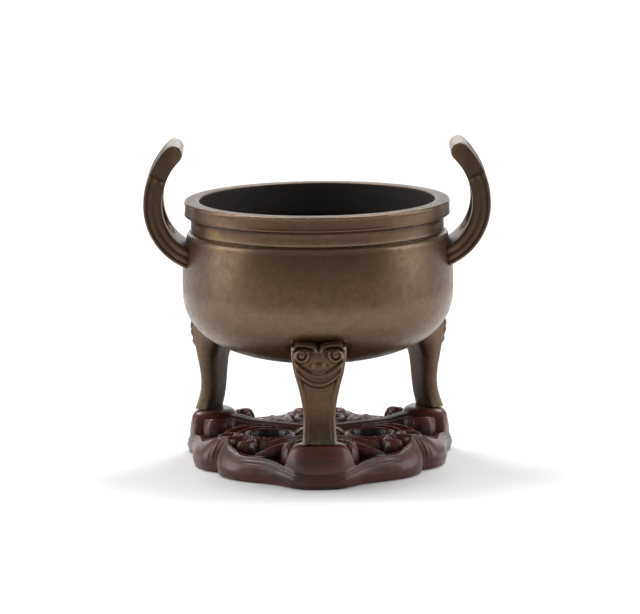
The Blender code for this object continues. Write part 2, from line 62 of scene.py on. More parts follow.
CENSER_LOW, CENSER_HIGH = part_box("censer")
STAND_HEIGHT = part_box("stand")[1][2]
BODY = "root"
LEGS = 3
UP = np.array([0.0, 0.0, 1.0])
AIM = (0.0, 0.0, 0.09)
CAMERA_PLACE = (0.00107, -2.400, 0.4731)
CAMERA_DOWN = 9.58
CAMERA_ROLL = -0.65
CAMERA_LENS = 226.6
WINDOW_ANGLE = 24.0
FLOOR_HALF = 6.0
BOWL_SEGMENTS = 224
LOBE_STEPS = 100
WALL_ROWS = 38
TOP_ROWS = 114

# Share of a leg's height, share of the mask's half width, and how far the front and the back
# stand out from the belly's widest radius.
LEG_STATIONS = (
    (0.0, 0.632, 0.0018, -0.0090),
    (0.13, 0.589, -0.0008, -0.0112),
    (0.26, 0.577, -0.0021, -0.0124),
    (0.39, 0.632, -0.0021, -0.0128),
    (0.55, 0.755, -0.0013, -0.0138),
    (0.71, 0.911, 0.0002, -0.0188),
    (0.90, 1.0, 0.0006, -0.0265),
    (1.0, 0.985, -0.0016, -0.0300),
)

# Degrees off a lobe's middle line, the fascia crest's radius and height, its foot's radius and
# how far its wall swells out.
FASCIA = (
    (0.0, 0.0868, 0.0083, 0.0848, 0.0030),
    (6.0, 0.0868, 0.0090, 0.0850, 0.0030),
    (10.0, 0.0848, 0.0102, 0.0834, 0.0030),
    (14.0, 0.0808, 0.0118, 0.0798, 0.0030),
    (18.0, 0.0772, 0.0132, 0.0766, 0.0030),
    (22.0, 0.0748, 0.0142, 0.0750, 0.0030),
    (27.0, 0.0730, 0.0147, 0.0742, 0.0030),
    (34.0, 0.0722, 0.0148, 0.0745, 0.0031),
    (40.0, 0.0722, 0.0148, 0.0750, 0.0033),
    (47.0, 0.0705, 0.0168, 0.0745, 0.0036),
    (53.0, 0.0690, 0.0192, 0.0730, 0.0038),
    (57.0, 0.0672, 0.0200, 0.0712, 0.0030),
    (60.0, 0.0655, 0.0195, 0.0690, 0.0016),
)

# The carved leaves: half width, then places across and along the lobe's middle line and heights.
LEAVES = (
    (0.0036, ((0.010, 0.0250, 0.0205), (0.020, 0.0345, 0.0212),
              (0.029, 0.0385, 0.0200), (0.040, 0.0370, 0.0180))),
    (0.0038, ((0.008, 0.0355, 0.0205), (0.018, 0.0440, 0.0205),
              (0.027, 0.0485, 0.0190), (0.0375, 0.0500, 0.0150))),
    (0.0030, ((0.014, 0.0070, 0.0200), (0.021, 0.0020, 0.0200),
              (0.029, -0.0005, 0.0195), (0.038, 0.0030, 0.0180))),
    (0.0026, ((0.047, 0.0180, 0.0190), (0.0445, 0.0100, 0.0200),
              (0.047, 0.0200, 0.0190), (0.049, 0.0270, 0.0170))),
    (0.0030, ((0.0090, 0.0560, 0.0225), (0.0165, 0.0585, 0.0230),
              (0.0205, 0.0640, 0.0232), (0.0185, 0.0700, 0.0222))),
)


def length(name, default, words):
    """A length in metres, shown in the scene's units."""
    return FloatProperty(name=name, description=words, default=default, unit="LENGTH", precision=5)


def angle(name, default, words):
    """An angle in degrees."""
    return FloatProperty(name=name, description=words, default=default)


def colour(name, default, words):
    """A linear colour."""
    return FloatVectorProperty(
        name=name, description=words, default=default, subtype="COLOR", size=3
    )


class BowlSizes(bpy.types.PropertyGroup):
    """Sizes of the turned body, as heights above the feet and radii from its axis."""

    foot_plane: length("Foot plane", CENSER_LOW[2], "Height of the feet above the floor")
    rim_height: length("Rim height", 0.1342, "Top of the rim")
    rim_radius: length("Rim radius", 0.0800, "Outside of the rim")
    rim_round: length("Rim rounding", 0.0013, "Rounding of the rim's outer edge")
    mouth_radius: length("Mouth radius", 0.0710, "Inside of the rim")
    lip_underside: length("Lip underside", 0.1253, "Foot of the rim's upright face")
    cove_height: length("Cove height", 0.0040, "Hollow between the lip and the neck")
    neck_radius: length("Neck radius", 0.0762, "The neck at its narrowest")
    shoulder_height: length("Shoulder height", 0.1152, "Groove between the neck and the shoulder")
    shoulder_roll: length("Shoulder roll", 0.0036, "Height of the shoulder's rounded edge")
    belly_height: length("Belly height", 0.0815, "The widest line of the belly")
    belly_radius: length("Belly radius", 0.0817, "The belly at its widest")
    belly_depth: length("Belly depth", 0.0443, "From the widest line down to the bottom")
    belly_rise: length("Belly rise", 0.0845, "Half height of the oval above the widest line")
    belly_power: FloatProperty(name="Belly fullness", description="Power of the oval", default=2.44)
    wall: length("Wall", 0.0050, "Thickness of the cast wall")


class HandleSizes(bpy.types.PropertyGroup):
    """Sizes of the two loop handles."""

    outermost: length("Reach", CENSER_HIGH[0], "From the bowl's axis to the handle's outer face")
    width: length("Width", 0.0420, "From front to back")
    thickness: length("Thickness", 0.0108, "From the inner to the outer face")
    bend_height: length("Bend height", 0.1330, "The handle's widest place above the feet")
    lower_bend: length("Lower bend", 0.0350, "Radius of the arc that rises from the shoulder")
    upper_bend: length("Upper bend", 0.0438, "Radius of the arc that leans back to the tip")
    tip_sweep: angle("Tip", 45.0, "End of the upper arc")
    root_sweep: angle("Root", 73.0, "End of the lower arc, inside the bowl's wall")
    ledge_sweep: angle("Ledge", 22.5, "Where the flutes stop at a small step")
    ledge_setback: length("Ledge setback", 0.0009, "How far the plain part lies back")
    flute_depth: length("Flute depth", 0.0009, "Depth of the grooves between the ridges")
    slot_width: length("Opening width", 0.0220, "Width of the handle's opening")
    slot_top: angle("Opening top", 33.0, "Upper end of the opening")
    slot_foot: angle("Opening foot", 38.0, "Lower end of the opening")
    slot_round: length("Opening rounding", 0.0016, "Rounding of the opening's edges")


class LegSizes(bpy.types.PropertyGroup):
    """Sizes of the mask-topped legs."""

    height: length("Height", 0.0608, "From the foot to the top of the brows")
    half_width: length("Mask half width", 0.0163, "Half the width of the mask")
    border: length("Border", 0.0032, "Width of the raised borders of the shaft")
    panel_depth: length("Panel depth", 0.0011, "Depth of the sunk panel")
    chin_height: length("Chin", 0.0338, "Lowest point of the mask's edge")
    lip_height: length("Lip line", 0.0408, "Lowest point of the moulding below the nose")
    mask_relief: length("Mask relief", 0.0012, "How far the mask stands off the shaft")
    eye_offset: length("Eye offset", 0.0105, "From the middle line to an eye")
    eye_height: length("Eye height", 0.0532, "Height of the eyes")
    eye_radius: length("Eye radius", 0.0056, "Outermost turn of an eye's spiral")
    eye_pitch: length("Spiral pitch", 0.0028, "How far one turn of the spiral comes in")
    eye_relief: length("Eye relief", 0.0013, "Height of the spiral's ridge")
    brow_drop: length("Brow drop", 0.0036, "Depth of the notch between the brows")
    brow_round: length("Brow rounding", 0.0034, "How softly the brows turn into the belly")


class StandSizes(bpy.types.PropertyGroup):
    """Sizes of the carved stand. Places on a lobe count across and along its middle line."""

    height: length("Height", STAND_HEIGHT, "From the floor to the seats")
    recess: length("Recess", 0.0095, "Height of the sunk ground")
    pad_half_width: length("Pad half width", 0.0218, "Half the width of a pad")
    pad_front: length("Pad front", 0.0125, "From a pad's middle to its front")
    pad_back: length("Pad back", 0.0180, "From a pad's middle to its back")
    pad_middle: length("Pad middle", 0.0752, "From the stand's middle to a pad's middle")
    arm_height: length("Arm height", 0.0215, "Top of the arms and the hub")
    arm_half_width: length("Arm half width", 0.0095, "Half the width of an arm")
    hub_radius: length("Hub radius", 0.0190, "Radius of the hub")
    scroll_radius: length("Scroll distance", 0.0598, "From the middle to a scroll's centre")
    scroll_angle: angle("Scroll angle", 51.5, "From a lobe's middle line to a scroll's centre")
    scroll_outer: length("Scroll outer bend", 0.0146, "Radius at the scroll's start")
    scroll_inner: length("Scroll inner bend", 0.0046, "Radius at the scroll's end")
    scroll_half_width: length("Scroll half width", 0.0049, "Half the width of the scroll's band")
    scroll_height: length("Scroll height", 0.0225, "Crest of the scroll")
    groove_depth: length("Groove depth", 0.0005, "Depth of the moulding's fine grooves")
    opening_radius: length("Opening radius", 0.0127, "Radius of the round openings")
    opening_distance: length("Opening distance", 0.0352, "From the middle to an opening's centre")
    opening_rim: length("Opening rim", 0.0030, "Width of the rim round an opening")
    opening_rim_height: length("Opening rim height", 0.0208, "Top of the rim round an opening")


class Finishes(bpy.types.PropertyGroup):
    """Colours of the finishes."""

    # Bronze brown, darkened, also gives the dirt in hollows and the painted shade on the handles
    # and behind the legs.
    bronze_brown: colour("Bronze brown", (0.088, 0.046, 0.0235), "Main patina")
    bronze_olive: colour("Bronze olive", (0.092, 0.055, 0.0245), "Yellower patches")
    bronze_red: colour("Bronze red", (0.100, 0.043, 0.0245), "Redder patches")
    bronze_rubbed: colour("Rubbed neck", (0.150, 0.080, 0.020), "Warmer patches on the neck")
    bronze_worn: colour("Worn bronze", (0.170, 0.115, 0.070), "Rubbed edges")
    bronze_soot: colour("Soot", (0.018, 0.0115, 0.0095), "Inside of the bowl")
    bronze_green: colour("Green bloom", (0.060, 0.080, 0.045), "Faint green in hollows")
    # Dark wood also gives the painted shade in the sunk ground and the openings.
    wood_dark: colour("Dark wood", (0.014, 0.004, 0.003), "Grain and hollows")
    wood_red: colour("Red wood", (0.074, 0.0150, 0.0100), "Polished wood")
    floor_white: colour("Floor", (0.78, 0.78, 0.78), "Paper floor")


def smooth_step(low, high, value):
    """Rises from 0 at low to 1 at high as 3t^2 - 2t^3."""
    share = np.clip((value - low) / (high - low), 0.0, 1.0)
    return share * share * (3.0 - 2.0 * share)


def bump(distance, radius):
    """A half-round hump: the square root of one minus the squared share of the radius."""
    return np.sqrt(np.clip(1.0 - (distance / radius) ** 2, 0.0, 1.0))


def soft_bump(distance, radius):
    """A hump without a corner at its foot: one minus the squared share, squared."""
    return np.clip(1.0 - (distance / radius) ** 2, 0.0, 1.0) ** 2


def smooth_curve(levels, values, at):
    """A cubic through the given values, with each slope taken from its two neighbours."""
    levels = np.asarray(levels, float)
    values = np.asarray(values, float)
    slopes = np.gradient(values, levels)
    at = np.clip(at, levels[0], levels[-1])
    index = np.clip(np.searchsorted(levels, at, side="right") - 1, 0, len(levels) - 2)
    span = levels[index + 1] - levels[index]
    t = (at - levels[index]) / span
    return (
        (2 * t**3 - 3 * t**2 + 1) * values[index]
        + (t**3 - 2 * t**2 + t) * span * slopes[index]
        + (3 * t**2 - 2 * t**3) * values[index + 1]
        + (t**3 - t**2) * span * slopes[index + 1]
    )


def closed_surface(name, grid):
    """A closed mesh from a grid of points (rows, columns, 3): each row is a ring joined round its
    columns, each row is joined to the next, and both end rings are closed by a fan."""
    rows, columns = grid.shape[:2]
    points = np.concatenate([grid.reshape(-1, 3), [grid[0].mean(axis=0), grid[-1].mean(axis=0)]])
    i = np.arange(rows - 1)[:, None] * columns
    j = np.arange(columns)[None, :]
    k = (j + 1) % columns
    quads = np.stack([i + j, i + k, i + columns + k, i + columns + j], axis=-1).reshape(-1, 4)
    ring = np.arange(columns)
    after = (ring + 1) % columns
    top = (rows - 1) * columns
    low_fan = np.stack([np.full(columns, rows * columns), after, ring], axis=-1)
    high_fan = np.stack([np.full(columns, rows * columns + 1), top + ring, top + after], axis=-1)
    mesh = bpy.data.meshes.new(name)
    faces = quads.tolist() + low_fan.tolist() + high_fan.tolist()
    mesh.from_pydata(points.tolist(), [], faces)
    outward(mesh)
    obj = bpy.data.objects.new(name, mesh)
    bpy.context.scene.collection.objects.link(obj)
    return obj


def outward(mesh):
    """Merges doubles and turns all faces of a closed mesh outwards."""
    bm = bmesh.new()
    bm.from_mesh(mesh)
    bmesh.ops.remove_doubles(bm, verts=bm.verts, dist=1e-6)
    bmesh.ops.recalc_face_normals(bm, faces=bm.faces)
    bm.to_mesh(mesh)
    bm.free()


def fuse(name, body, others):
    """Joins the others to a body, or cuts them away, and keeps the result as one plain mesh.
    The others are pairs of an object and UNION or DIFFERENCE."""
    for other, operation in others:
        modifier = body.modifiers.new(other.name, "BOOLEAN")
        modifier.operation = operation
        modifier.solver = "MANIFOLD"
        modifier.object = other
    graph = bpy.context.evaluated_depsgraph_get()
    mesh = bpy.data.meshes.new_from_object(body.evaluated_get(graph))
    mesh.name = name
    for obj in [body] + [other for other, _ in others]:
        bpy.data.objects.remove(obj)
    made = bpy.data.objects.new(name, mesh)
    bpy.context.scene.collection.objects.link(made)
    return made


def mesh_points(mesh):
    """All points of a mesh as an array."""
    points = np.empty(len(mesh.vertices) * 3, np.float32)
    mesh.vertices.foreach_get("co", points)
    return points.reshape(-1, 3).astype(float)


def mesh_edges(mesh):
    """All edges of a mesh as an array of point pairs."""
    pairs = np.empty(len(mesh.edges) * 2, np.int32)
    mesh.edges.foreach_get("vertices", pairs)
    return pairs.reshape(-1, 2)


def spread(values, pairs, rounds):
    """Averages values over neighbouring points, again and again."""
    count = np.bincount(pairs.ravel(), minlength=len(values)).astype(float)[:, None]
    for _ in range(rounds):
        total = np.zeros_like(values)
        for column in range(values.shape[1]):
            total[:, column] = np.bincount(pairs[:, 0], values[pairs[:, 1], column], len(values))
            total[:, column] += np.bincount(pairs[:, 1], values[pairs[:, 0], column], len(values))
        values = 0.5 * values + 0.5 * total / np.maximum(count, 1.0)
    return values


def mark_relief(mesh, reach):
    """Stores how much each point stands out of its surroundings as the attribute relief: 0.5 on
    flat stretches, towards 1 on ridges and towards 0 in hollows. It is the distance, along the
    point's normal, from the point to the average of its neighbourhood, over the reach."""
    points = mesh_points(mesh)
    pairs = mesh_edges(mesh)
    normals = np.empty(len(points) * 3, np.float32)
    mesh.vertex_normals.foreach_get("vector", normals)
    normals = normals.reshape(-1, 3)
    away = points - spread(points, pairs, 12)
    out = np.einsum("ij,ij->i", away, normals)[:, None]
    out = spread(out, pairs, 3)[:, 0]
    store(mesh, "relief", 0.5 + 0.5 * np.clip(out / reach, -1.0, 1.0))


def store(mesh, name, values):
    """Keeps one value a point as an attribute."""
    layer = mesh.attributes.new(name, "FLOAT", "POINT")
    layer.data.foreach_set("value", values.astype(np.float32))


def lobe_angle(azimuth):
    """The angle from the nearest lobe's middle line, the same on both of its sides."""
    return np.abs((azimuth + 90.0 + 60.0) % 120.0 - 60.0)


def mark_recess_shade(mesh, stand):
    """Stores painted shade for the stand's sunk ground as the attribute hollow: for each point the
    share by which it is lower than the carvings' middle height, inside the fascia, and all of the
    openings' walls. The wood darkens by it as painted shade."""
    points = mesh_points(mesh)
    radius = np.hypot(points[:, 0], points[:, 1])
    low = smooth_step(0.0185, 0.0110, points[:, 2]) * smooth_step(0.070, 0.064, radius)
    turn = np.degrees(np.arctan2(points[:, 1], points[:, 0]))
    off = np.radians(lobe_angle(turn))
    across = radius * np.sin(off) - stand.opening_distance * math.sin(math.radians(60.0))
    along = radius * np.cos(off) - stand.opening_distance * math.cos(math.radians(60.0))
    bore = np.hypot(across, along) < stand.opening_radius + 0.0002
    store(mesh, "hollow", np.where(bore, 1.0, low))


def finish_piece(obj, surface, node, sharp, reach):
    """Shades a finished mesh, with edges over the sharp angle kept crisp, marks its relief, gives
    it its material, hangs it on the root body and hides the part that it stands for."""
    mesh = obj.data
    mesh.shade_smooth()
    mesh.set_sharp_from_angle(angle=math.radians(sharp))
    mark_relief(mesh, reach)
    mesh.materials.clear()
    mesh.materials.append(surface)
    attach(obj, BODY)
    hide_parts(node)


def belly_line(bowl, turn, inset=0.0):
    """Radius and height on the belly's lower oval for a turn from 0 at its widest line to a right
    angle at the bottom: cosine and sine to the power two over the oval's power."""
    radius = (bowl.belly_radius - inset) * np.cos(turn) ** (2 / bowl.belly_power)
    height = bowl.belly_height - (bowl.belly_depth - inset) * np.sin(turn) ** (2 / bowl.belly_power)
    return np.stack([radius, height], axis=1)


def belly_radius(bowl, height, inset=0.0):
    """The belly's radius at a height: a flattened oval below its widest line, a tall one above."""
    reach = np.where(height < bowl.belly_height, bowl.belly_depth, bowl.belly_rise) - inset
    share = np.clip(np.abs(height - bowl.belly_height) / reach, 0.0, 1.0)
    return (bowl.belly_radius - inset) * (1.0 - share**bowl.belly_power) ** (1.0 / bowl.belly_power)


def upper_belly(bowl, top, count, inset=0.0):
    """Radius and height up the belly from its widest line to a height."""
    height = np.linspace(bowl.belly_height, top, count)
    return np.stack([belly_radius(bowl, height, inset), height], axis=1)


def quarter(centre, half_sizes, start, end, count):
    """Points on an oval arc about a centre, from one angle to another, in degrees."""
    turn = np.radians(np.linspace(start, end, count))
    return np.stack(
        [centre[0] + half_sizes[0] * np.cos(turn), centre[1] + half_sizes[1] * np.sin(turn)], axis=1
    )


def upright(radius, low, high, count):
    """Radius and height up a straight wall."""
    return np.stack([np.full(count, radius), np.linspace(low, high, count)], axis=1)


def inner_belly(bowl, rows, inset):
    """Radius and height of the belly's inside, from the bottom to two walls under the shoulder."""
    lower = belly_line(bowl, np.linspace(math.pi / 2, 0.0, rows)[1:], inset)
    top = bowl.shoulder_height - 2 * bowl.wall
    return np.concatenate([lower, upper_belly(bowl, top, 14, inset)[1:]])


def bowl_profile(bowl):
    """Radius and height of the whole casting, from the bottom inside over the rim to the bottom
    outside."""
    lower_neck = np.array([[bowl.mouth_radius + 0.0008, bowl.shoulder_height - 0.0018]])
    mouth = upright(bowl.mouth_radius, bowl.shoulder_height, bowl.rim_height - 0.0012, 10)
    edge = 0.0008
    edge_middle = (bowl.mouth_radius + edge, bowl.rim_height - edge)
    inner_edge = quarter(edge_middle, (edge, edge), 180, 90, 5)
    flat = np.stack(
        [
            np.linspace(bowl.mouth_radius + 0.0014, bowl.rim_radius - 1.4 * bowl.rim_round, 6),
            np.full(6, bowl.rim_height),
        ],
        axis=1,
    )
    rounded = bowl.rim_round
    outer_edge = quarter(
        (bowl.rim_radius - rounded, bowl.rim_height - rounded), (rounded, rounded), 90, 0, 7
    )
    face_height = np.linspace(bowl.rim_height - 1.6 * rounded, bowl.lip_underside + 0.0010, 7)
    middle = (bowl.rim_height + bowl.lip_underside) / 2
    hollow = 0.0003 * bump(face_height - middle, (bowl.rim_height - bowl.lip_underside) / 2)
    face = np.stack([bowl.rim_radius - hollow, face_height], axis=1)
    lip_middle = (bowl.rim_radius - edge, bowl.lip_underside + edge)
    lip_edge = quarter(lip_middle, (edge, edge), 0, -70, 5)
    reach = bowl.rim_radius - bowl.neck_radius - 0.0004
    cove_foot = bowl.lip_underside - bowl.cove_height
    cove = quarter((bowl.neck_radius + reach, cove_foot), (reach, bowl.cove_height), 95, 180, 8)
    neck = upright(bowl.neck_radius, cove_foot - 0.0008, bowl.shoulder_height + 0.0012, 6)
    groove_middle = (bowl.neck_radius, bowl.shoulder_height + 0.0002)
    groove = quarter(groove_middle, (0.0006, 0.0006), 120, 250, 6)
    roll_low = bowl.shoulder_height - bowl.shoulder_roll
    roll_radius = float(belly_radius(bowl, roll_low))
    roll_width = roll_radius - bowl.neck_radius - 0.0002
    roll = quarter((roll_radius - roll_width, roll_low), (roll_width, bowl.shoulder_roll), 86, 0, 9)
    outside_upper = upper_belly(bowl, roll_low, 30)[::-1][1:]
    outside = belly_line(bowl, np.linspace(0.0, math.pi / 2, 60)[1:-1])
    parts = [
        inner_belly(bowl, 28, bowl.wall), lower_neck, mouth, inner_edge, flat, outer_edge, face,
        lip_edge, cove, neck, groove, roll, outside_upper, outside,
    ]
    return np.concatenate(parts)


def hollow_profile(bowl):
    """Radius and height of the space in the bowl, a hair inside its inner wall, which clears the
    roots of the legs and handles away."""
    hair = 0.0001
    radius = bowl.mouth_radius - hair
    neck = [[radius, bowl.shoulder_height], [radius, bowl.rim_height + 0.01]]
    return np.concatenate([inner_belly(bowl, 42, bowl.wall + hair), neck])


def turned(name, profile, foot_plane):
    """A profile of radius and height carried round the upright axis."""
    turn = np.linspace(0.0, math.tau, BOWL_SEGMENTS, endpoint=False)
    radius = profile[:, :1]
    x = radius * np.cos(turn)
    y = radius * np.sin(turn)
    z = np.repeat(profile[:, 1:] + foot_plane, BOWL_SEGMENTS, axis=1)
    return closed_surface(name, np.stack([x, y, z], axis=-1))


def handle_frame(handle, bowl, sweep):
    """The middle line of a handle in side view for an array of sweeps, 0 at its widest place,
    positive to the tip and negative to the root: points, outward directions and directions along.
    Both arcs stand upright at the widest place, so that they run on into each other."""
    turn = np.radians(sweep)
    bend = np.where(sweep > 0, handle.upper_bend, handle.lower_bend)[:, None]
    out = np.stack([np.cos(turn), np.sin(turn)], axis=1)
    widest = handle.outermost - handle.thickness / 2
    level = np.full(len(turn), handle.bend_height + bowl.foot_plane)
    centre = np.stack([widest - bend[:, 0], level], axis=1)
    along = np.stack([-out[:, 1], out[:, 0]], axis=1)
    return centre + bend * out, out, along


def flute(handle, depth):
    """How far a handle's narrow face lies back at a depth from its outer edge: a thin edge bead,
    then two round ridges, each an arch that falls to the grooves at its ends."""
    grooves = np.array([0.0, 0.0024, 0.0065, 0.0108]) * handle.thickness / 0.0108
    index = np.clip(np.searchsorted(grooves, depth, side="right"), 1, 3)
    middle = (grooves[index - 1] + grooves[index]) / 2
    half = (grooves[index] - grooves[index - 1]) / 2
    return handle.flute_depth * (1.0 - bump(depth - middle, half * 1.001))


def handle_band(name, handle, bowl, side):
    """One handle: a section carried along two arcs. The section has fluted narrow faces below the
    ledge and plain ones above it, and slightly crowned broad faces. Its last rings draw in as a
    quarter round, which makes the tip."""
    low = np.linspace(-handle.root_sweep, 0.0, 38)
    up = np.linspace(0.0, handle.ledge_sweep - 0.35, 18)[1:]
    plain = np.linspace(handle.ledge_sweep + 0.35, handle.tip_sweep, 17)
    cap = np.radians(np.linspace(0.0, 90.0, 9)[1:])
    sweep = np.concatenate([low, up, plain, np.full(len(cap), handle.tip_sweep)])
    caps = np.concatenate([np.zeros(len(low) + len(up) + len(plain)), cap])
    fluted = (sweep < handle.ledge_sweep).astype(float)
    point, out, along = handle_frame(handle, bowl, sweep)
    half_thickness = handle.thickness / 2
    point = point + along * (half_thickness * np.sin(caps))[:, None]
    squeeze = 0.06 + 0.94 * np.cos(caps)
    depth = handle.thickness * (1.0 - np.cos(np.linspace(0.0, math.pi, 27))) / 2
    edge = np.minimum(depth, handle.thickness - depth)
    rounding = 0.0009 * (1.0 - bump(np.maximum(0.0012 - edge, 0.0), 0.00121))
    lie_back = fluted[:, None] * flute(handle, depth) + (1.0 - fluted[:, None]) * (
        handle.ledge_setback + rounding
    )
    lie_back = lie_back + 0.0007 * (1.0 - np.cos(caps))[:, None]
    face_y = handle.width / 2 - lie_back
    face_out = (half_thickness - depth)[None, :] * squeeze[:, None]
    broad = np.linspace(-1.0, 1.0, 15)[1:-1]
    crown = 0.0004 * (1.0 - broad**2)
    inner_y = -face_y[:, -1:] * broad[None, :]
    inner_out = face_out[:, -1:] - crown * squeeze[:, None]
    outer_y = -inner_y
    outer_out = face_out[:, :1] + crown * squeeze[:, None]
    section_y = np.concatenate([face_y, inner_y, -face_y[:, ::-1], outer_y], axis=1)
    section_out = np.concatenate([face_out, inner_out, face_out[:, ::-1], outer_out], axis=1)
    x = side * (point[:, :1] + out[:, :1] * section_out)
    z = point[:, 1:] + out[:, 1:] * section_out
    return closed_surface(name, np.stack([x, section_y, z], axis=-1))


def handle_opening(name, handle, bowl, side):
    """The cutter of a handle's opening: a strip with half-round ends along the handle's arcs,
    flared by a quarter round towards both broad faces so that its edges come out rounded."""
    half = handle.slot_width / 2
    round_off = handle.slot_round
    top = math.radians(handle.slot_top) * handle.upper_bend
    foot = math.radians(handle.slot_foot) * handle.lower_bend
    surface = handle.thickness / 2
    t = np.radians(np.linspace(0.0, 90.0, 6))
    flare_depth = surface - round_off + round_off * np.sin(t)
    flare = round_off - round_off * np.cos(t)
    depth = np.concatenate([-(flare_depth[::-1]), flare_depth])
    flares = np.concatenate([flare[::-1], flare])
    clear = 3.4 * surface
    depth = np.concatenate([[-clear], depth, [clear]])
    flares = np.concatenate([flares[:1], flares, flares[-1:]])
    ends = np.radians(np.linspace(-90.0, 90.0, 25))
    run = np.linspace(top - half, half - foot, 20)[1:-1]
    upper_end = top - half + half * np.cos(ends)
    lower_end = half - foot - half * np.cos(ends)
    run_along = np.concatenate([upper_end, run, lower_end, run[::-1]])
    straight = np.ones(len(run))
    way_along = np.concatenate([np.cos(ends), 0 * straight, -np.cos(ends), 0 * straight])
    way_across = np.concatenate([np.sin(ends), straight, -np.sin(ends), -straight])
    across = half * way_across
    run_along = run_along[None, :] + flares[:, None] * way_along[None, :]
    across = across[None, :] + flares[:, None] * way_across[None, :]
    bend = np.where(run_along > 0, handle.upper_bend, handle.lower_bend)
    sweep = np.degrees(run_along / bend)
    point, out, _ = handle_frame(handle, bowl, sweep.ravel())
    away = np.repeat(depth[:, None], run_along.shape[1], axis=1).ravel()
    place = point + out * away[:, None]
    grid = np.stack([side * place[:, 0], across.ravel(), place[:, 1]], axis=-1)
    return closed_surface(name, grid.reshape(len(depth), -1, 3))


def spiral_ridge(leg, across, height):
    """The ridge of an eye: a spiral that starts under the brow beside the nose, runs over the
    eye's outer side and ends in the pupil. It is a round hump about a radius that falls by one
    pitch a turn."""
    ridge_half = 0.00105
    pupil_radius = 0.0013
    dx = np.abs(across) - leg.eye_offset
    dz = height - leg.eye_height
    radius = np.hypot(dx, dz)
    turn = (np.arctan2(dz, dx) - math.radians(150.0)) % math.tau / math.tau
    ridge = np.zeros_like(radius)
    for lap in (0, 1):
        total = turn + lap
        line = leg.eye_radius - 0.0010 - leg.eye_pitch * total
        here = bump(radius - line, ridge_half) * smooth_step(1.42, 1.36, total)
        ridge = np.maximum(ridge, here)
    return np.maximum(ridge, bump(radius, pupil_radius))


def leg_relief(leg, across, height, half_width):
    """How far a leg's front stands out of its plain form: the shaft's panel is sunk between
    rounded borders, and the mask stands proud above its bracketed chin, with spiral eyes on
    swelling cheeks, a nose with a round tip, a broad lip and two brows."""
    chin_bend, lip_bend = 45.0, 38.0
    nose_tip = 0.0462
    nostril_aside, nostril_height = 0.0043, 0.0456
    size = np.abs(across)
    chin = leg.chin_height + chin_bend * across**2
    lip = leg.lip_height + lip_bend * across**2
    edge = half_width - leg.border
    on_mask = smooth_step(-0.0012, 0.0010, height - chin)
    panel = smooth_step(0.0006, -0.0006, size - edge) * (1.0 - on_mask)
    border = soft_bump(size - (edge + leg.border / 2), leg.border * 0.6) * (1.0 - on_mask)
    foot_ridge = soft_bump(across, 0.0016) * smooth_step(0.0125, 0.008, height) * panel
    relief = on_mask * leg.mask_relief - panel * leg.panel_depth + 0.0004 * border
    relief += 0.0005 * foot_ridge
    relief += 0.0008 * soft_bump(height - lip, 0.0026) * on_mask
    relief -= 0.0003 * soft_bump(height - (lip - 0.0030), 0.0012) * on_mask
    relief += 0.0004 * soft_bump(height - (chin + 0.0016), 0.0018)
    above_lip = smooth_step(0.0, 0.0018, height - lip - 0.0010)
    relief -= 0.0007 * above_lip * smooth_step(0.0034, 0.0046, size)
    dx = size - leg.eye_offset
    dz = height - leg.eye_height
    relief += 0.0012 * soft_bump(np.hypot(dx, dz), 0.0072)
    relief += leg.eye_relief * spiral_ridge(leg, across, height)
    nose = 0.0021 + 0.0013 * smooth_step(leg.eye_height, 0.0455, height)
    relief += 0.0007 * smooth_step(nose + 0.0008, nose - 0.0008, size) * above_lip
    relief += 0.0012 * bump(np.hypot(across, height - nose_tip), 0.0031)
    nostril = np.hypot(size - nostril_aside, height - nostril_height)
    relief += 0.0007 * bump(nostril, 0.0019)
    under_brow = brow_height(leg, across) - height
    beside_nose = smooth_step(0.001, 0.004, size)
    relief -= 0.0016 * soft_bump(under_brow - 0.0034, 0.0011) * beside_nose
    relief += 0.0010 * bump(under_brow - 0.0014, 0.0018)
    cheek = bump(size - half_width + 0.0012, 0.0015) * on_mask
    return relief + 0.0004 * cheek


def brow_height(leg, across):
    """The mask's upper outline: an arch over each eye, with a notch between them."""
    arch_half = 0.0102
    arch = bump(np.abs(across) - arch_half, arch_half)
    corner = 0.0030 * smooth_step(0.0118, 0.0165, np.abs(across))
    return leg.height - leg.brow_drop * (1.0 - arch) - corner


